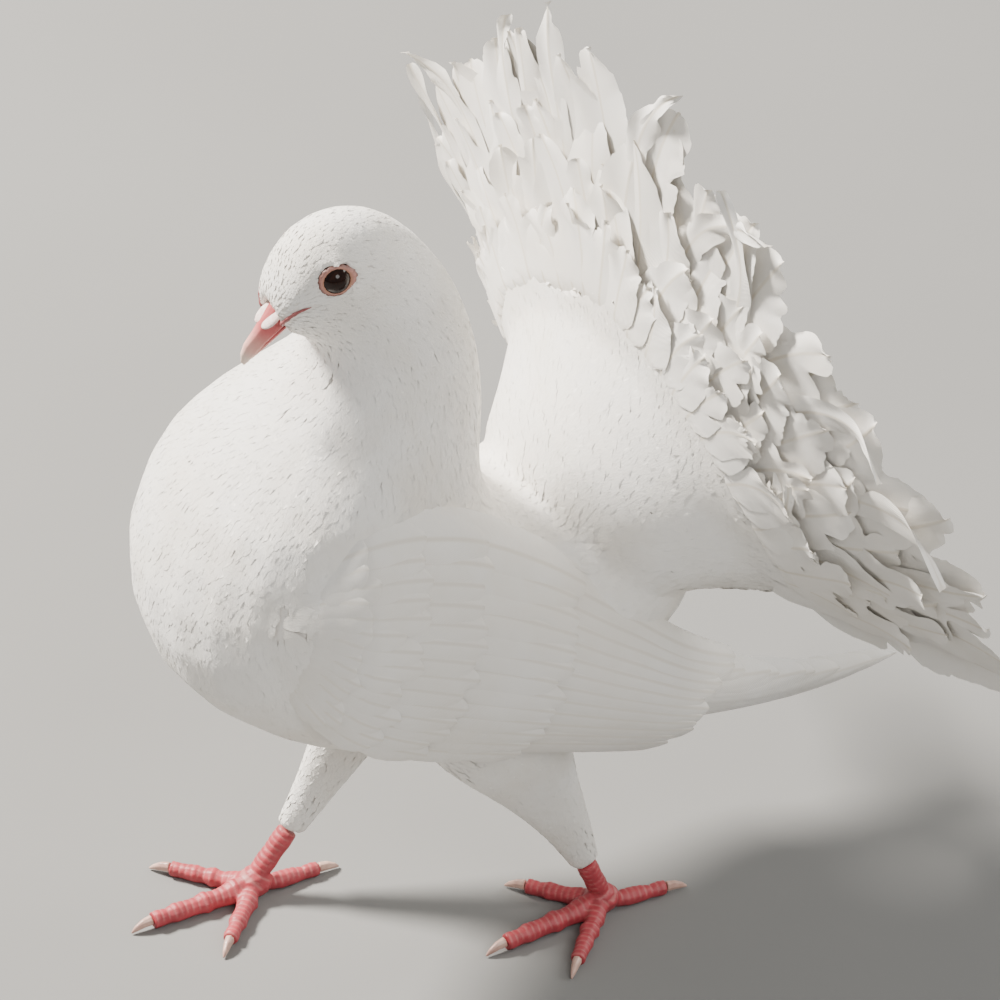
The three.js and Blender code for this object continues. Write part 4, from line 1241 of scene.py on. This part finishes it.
def eye_ring(side, sign):
    """The bare ring round an eye, wrinkled, drawn out towards the back, and with its rim kept as a number."""
    ring = primitive(f"eye_lids_{side}", bpy.ops.mesh.primitive_torus_add, major_segments=72,
                     minor_segments=16, major_radius=RING_RADIUS * MM, minor_radius=RING_HALF * MM)
    co = points_of(ring)
    angle = np.arctan2(co[:, 1], co[:, 0])
    wrinkle = 1 + 0.02 * np.sin(17 * angle) + 0.015 * np.sin(29 * angle + 1)
    co[:, :2] *= wrinkle[:, None]
    away = np.hypot(co[:, 0], co[:, 1]) / MM
    backward = np.clip(sign * np.cos(angle), 0, 1) ** 3
    co[:, 0] *= 1.1 + 0.18 * backward * smooth((away - 3.6) / 1.2)
    co[:, 1] *= 0.96
    co[:, 2] += (2.9 - 0.5 * backward * smooth((away - 4) / 0.8)) * MM
    set_attribute(ring, "rim", (away - RING_RADIUS + RING_HALF) / (2 * RING_HALF))
    seat_in_eye(ring, co, sign)
    return ring


class PIGEON_OT_eyes(bpy.types.Operator):
    """Dark eyes, each in a ring of bare, wrinkled skin"""
    bl_idname = "pigeon.eyes"
    bl_label = "Eyes"

    def execute(self, context):
        colours = context.scene.pigeon_head
        gloss, tree, shader, place = material("eye_gloss", 0.07, IOR=1.36)
        flecks = noise(tree, place, 1500.0, 3.0)
        coloured(tree, shader, ramp(tree, flecks, (0.3, dimmed(colours.iris, 0.4)), (0.75, colours.iris)))
        lids, tree, shader, place = material("eye_ring_skin", 0.5)
        rim = node(tree, "ShaderNodeAttribute", attribute_name="rim").outputs["Fac"]
        creased = noise(tree, place, 1100.0, 4.0)
        edge = plus(tree, rim, math_node(tree, "SUBTRACT", creased, 0.5), 0.5)
        coloured(tree, shader, ramp(tree, edge, (0.0, dimmed(colours.ring, 0.3)), (0.25, (0.50, 0.25, 0.16)),
                                    (0.6, colours.ring), (0.95, dimmed(colours.ring, 0.4))))
        bump(tree, shader, creased, 0.6, 0.0002)
        for side, sign in SIDES.items():
            finish(eye_ball(side, sign), gloss, "eye", f"eye_{side}")
            finish(eye_ring(side, sign), lids, "red_skin")
        return {"FINISHED"}


def gradient_along(tree, place, start, end):
    """0 to 1 between two places of the frame."""
    way = end - start
    away = node(tree, "ShaderNodeVectorMath", {0: place, 1: tuple(start)}, operation="SUBTRACT").outputs[0]
    return node(tree, "ShaderNodeVectorMath", {0: away, 1: tuple(way / np.dot(way, way))},
                operation="DOT_PRODUCT").outputs["Value"]


class PIGEON_OT_bill(bpy.types.Operator):
    """Rosy bill with a pale tip, the dark pink line of the mouth, and the white swollen cere"""
    bl_idname = "pigeon.bill"
    bl_label = "Bill"

    def execute(self, context):
        colours = context.scene.pigeon_head
        horn, tree, shader, place = material("bill_horn", 0.38)
        root, tip = placed(bill_point(1, 1, 0)), placed(bill_point(BILL_LENGTH, 1, 0))
        wander = plus(tree, gradient_along(tree, place, root, tip), noise(tree, place, 420.0), 0.12)
        coloured(tree, shader, ramp(tree, wander, (0.05, dimmed(colours.bill, 0.6)), (0.55, colours.bill),
                                    (0.85, (0.78, 0.42, 0.35)), (1.0, (0.80, 0.62, 0.52))))
        bump(tree, shader, noise(tree, place, 1500.0, 4.0), 0.35, 0.0001)
        for half in ("upper", "lower"):
            piece = remeshed(joined_copy(f"horn_{half}", (f"bill_{half}",)), 0.0003, 5)
            finish(piece, horn, "bill", f"bill_{half}")
        corners = [mesh_object("mouth_corner", *mouth_corner(sign)) for sign in (-1, 1)]
        mouth = joined_copy("mouth_corners", (), corners)
        bpy.ops.object.shade_smooth()
        lip = skin_material("mouth_skin", (0.36, 0.11, 0.11), (0.20, 0.05, 0.05), 700.0, 0.5)
        finish(mouth, lip, "red_skin")
        cere = joined_copy("cere_skin", ("cere",))
        co = points_of(cere) / MM + SHIFT
        seat = bill_point(0.34 * BILL_LENGTH, 3.4, 0)
        upward = bill_point(0, 1, 0) - bill_point(0, 0, 0)
        co -= upward * (CERE_FLATTENED * ((co - seat) @ upward))[:, None]
        set_points(cere, placed(co) + normals_of(cere) * CERE_SWELL * MM)
        powder = skin_material("cere_powder", (0.86, 0.76, 0.72), (0.74, 0.52, 0.48), 900.0, 0.8)
        finish(remeshed(cere, 0.0004, 16), powder, "cere", "cere")
        return {"FINISHED"}


def mouth_corner(sign):
    """The dark pink line of the mouth behind the horn, as a thin tapered fold on the skin."""
    spots, normals = (np.array(column) for column in zip(*mouth_line(sign)))
    centres = spots + normals * 0.3 * MM
    sections = []
    for k, (centre, normal, ahead) in enumerate(zip(centres, normals, unit(np.gradient(centres, axis=0)))):
        side = np.cross(normal, ahead)
        size = 0.62 * MM * math.sqrt(max(0.02, 1 - (k / 15) ** 2)) * (1 + 0.15 * math.sin(k * 1.7))
        ring = np.linspace(0, 2 * math.pi, 10, endpoint=False)
        sections.append([centre + size * (math.cos(a) * normal * 0.8 + math.sin(a) * side) for a in ring])
    return lofted(sections)


def toe_paths(side):
    """Start and end of the middle line of each toe and the shank of a foot, in mm."""
    foot = FEET[side]
    paths = []
    for heading, length in TOES[side]:
        angle = math.radians(heading)
        ahead = np.array([math.sin(angle), -math.cos(angle), 0])
        paths.append((foot + UP * 3.0, foot + ahead * length + UP * 2.4))
    return paths + [(foot + UP * 6.0, np.array(LEGS[side][-1][:3], float))]


SCUTE_PITCH = 1.9
SCUTE_RISE = 0.24


def scuted(o, side):
    """Raises scutes over the toes and the shank, and keeps a share of each scute in an attribute."""
    co, n = points_of(o), normals_of(o)
    mm = co / MM + SHIFT
    best = np.full(len(co), np.inf)
    along = np.zeros(len(co))
    for start, end in toe_paths(side):
        run = np.linalg.norm(end - start)
        way = (end - start) / run
        s = np.clip((mm - start) @ way, 0, run)
        gap = np.linalg.norm(mm - start - s[:, None] * way, axis=1)
        near = gap < best
        best[near], along[near] = gap[near], s[near]
    phase = (along / SCUTE_PITCH) % 1
    plate = np.minimum(1, 5.0 * np.minimum(phase, 1 - phase))
    top = smooth((n[:, 2] + 0.15) / 0.5)
    front = smooth((-n[:, 1] + 0.1) / 0.6)
    high = smooth((mm[:, 2] - 7) / 3)
    where = np.maximum(top, front * high)
    rise = SCUTE_RISE * MM * (plate - 0.6) * where * smooth((mm[:, 2] - 0.6) / 0.8)
    set_points(o, co + n * rise[:, None])
    shade = mix(1.0, 0.6 + 0.4 * plate, where)
    set_attribute(o, "scute", shade)


class PIGEON_OT_feet(bpy.types.Operator):
    """Scaly red feet and their pale claws"""
    bl_idname = "pigeon.feet"
    bl_label = "Feet"

    def execute(self, context):
        colours = context.scene.pigeon_head
        red, tree, shader, place = material("foot_skin", 0.5)
        plate = node(tree, "ShaderNodeAttribute", attribute_name="scute").outputs["Fac"]
        mottle = noise(tree, place, 330.0, 4.0)
        flesh = ramp(tree, mottle, (0.3, dimmed(colours.feet, 0.7)), (0.7, colours.feet))
        coloured(tree, shader, blended(tree, plate, (0.62, 0.30, 0.27, 1), flesh))
        bump(tree, shader, noise(tree, place, 1400.0, 4.0), 0.5, 0.00015)
        claw_horn = skin_material("claw_horn", (0.66, 0.44, 0.36), (0.42, 0.24, 0.20), 260.0, 0.35, 0.0001)
        for side in SIDES:
            foot = remeshed(joined_copy(f"scaly_foot_{side}", (f"foot_{side}",)), 0.0005, 3)
            scuted(foot, side)
            finish(foot, red, "red_skin", f"foot_{side}")
            nodes = [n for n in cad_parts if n.startswith(f"claw_{side}_")]
            finish(remeshed(joined_copy(f"claws_{side}", nodes), 0.00025, 3), claw_horn, "claw", *nodes)
        return {"FINISHED"}


# name, place, size, power and colour of each soft light, which looks at the bird's middle
LIGHTS = (
    ("key", (-1.25, -0.95, 1.7), 0.5, 230, (1.0, 0.94, 0.86)),
    ("fill", (1.9, 0.1, 1.7), 1.2, 26, (0.98, 0.97, 0.95)),
    ("rim", (0.2, 1.9, 1.3), 0.9, 22, (1.0, 0.97, 0.92)),
)
LIT_MIDDLE = Vector((0, 0, 0.12))
SKY = {"Color": (0.96, 0.96, 0.95, 1), "Strength": 0.38}
SENSOR_WIDTH = 36
FLOOR_SIZE = 40


def aimed(name, data, place, look):
    """A light or camera in the scene, at a place, looking a way."""
    o = linked(name, data)
    o.location = place
    o.rotation_euler = Vector(look).to_track_quat("-Z", "Y").to_euler()
    return o


class PIGEON_OT_studio(bpy.types.Operator):
    """Pale floor, soft lights and the camera at the photograph's angle"""
    bl_idname = "pigeon.studio"
    bl_label = "Studio"

    def execute(self, context):
        settings = context.scene.pigeon_studio
        floor = primitive("floor", bpy.ops.mesh.primitive_plane_add, size=FLOOR_SIZE)
        made, tree, shader, place = material("floor_finish", 0.9)
        tint = dimmed(settings.floor, 0.94)
        coloured(tree, shader, ramp(tree, noise(tree, place, 6.0), (0.3, tint), (0.7, settings.floor)))
        floor.data.materials.append(made)
        camera = bpy.data.cameras.new("photo_view")
        camera.lens, camera.sensor_width, camera.clip_end = settings.lens, SENSOR_WIDTH, 50
        level_share = math.cos(CAMERA_ELEVATION)
        look = (-level_share * math.sin(CAMERA_AZIMUTH), level_share * math.cos(CAMERA_AZIMUTH),
                -math.sin(CAMERA_ELEVATION))
        context.scene.camera = aimed("photo_view", camera, placed(CAMERA_PLACE), look)
        for name, spot, size, power, colour in LIGHTS:
            light = bpy.data.lights.new(name, "AREA")
            light.shape, light.size, light.energy, light.color = "DISK", size, power, colour
            aimed(name, light, spot, LIT_MIDDLE - Vector(spot))
        world = context.scene.world = bpy.data.worlds.new("studio")
        world.use_nodes = True
        for key, value in SKY.items():
            world.node_tree.nodes["Background"].inputs[key].default_value = value
        return {"FINISHED"}


class PIGEON_PT_panel(bpy.types.Panel):
    """Sizes and colours, and a button for each group of pieces"""
    bl_idname = "PIGEON_PT_panel"
    bl_label = "Fantail pigeon"
    bl_space_type = "VIEW_3D"
    bl_region_type = "UI"
    bl_category = "Pigeon"

    def draw(self, context):
        for group in (context.scene.pigeon_plumage, context.scene.pigeon_head, context.scene.pigeon_studio):
            box = self.layout.box()
            for key in group.__annotations__:
                box.prop(group, key)
        for operator in OPERATORS:
            self.layout.operator(operator.bl_idname)


OPERATORS = (PIGEON_OT_studio, PIGEON_OT_skin, PIGEON_OT_coat, PIGEON_OT_tail, PIGEON_OT_wings,
             PIGEON_OT_eyes, PIGEON_OT_bill, PIGEON_OT_feet)
GROUPS = {"pigeon_plumage": PlumageSizes, "pigeon_head": HeadColours, "pigeon_studio": StudioSettings}


def register():
    for cls in (*GROUPS.values(), *OPERATORS, PIGEON_PT_panel):
        bpy.utils.register_class(cls)
    for name, cls in GROUPS.items():
        setattr(bpy.types.Scene, name, bpy.props.PointerProperty(type=cls))


def unregister():
    for name in GROUPS:
        delattr(bpy.types.Scene, name)
    for cls in (PIGEON_PT_panel, *reversed(OPERATORS), *GROUPS.values()):
        bpy.utils.unregister_class(cls)


def main():
    register()
    bpy.ops.pigeon.studio()
    bpy.ops.pigeon.skin()
    bpy.ops.pigeon.coat()
    bpy.ops.pigeon.tail()
    bpy.ops.pigeon.wings()
    bpy.ops.pigeon.eyes()
    bpy.ops.pigeon.bill()
    bpy.ops.pigeon.feet()
    select_only()


if __name__ == "__main__":
    main()
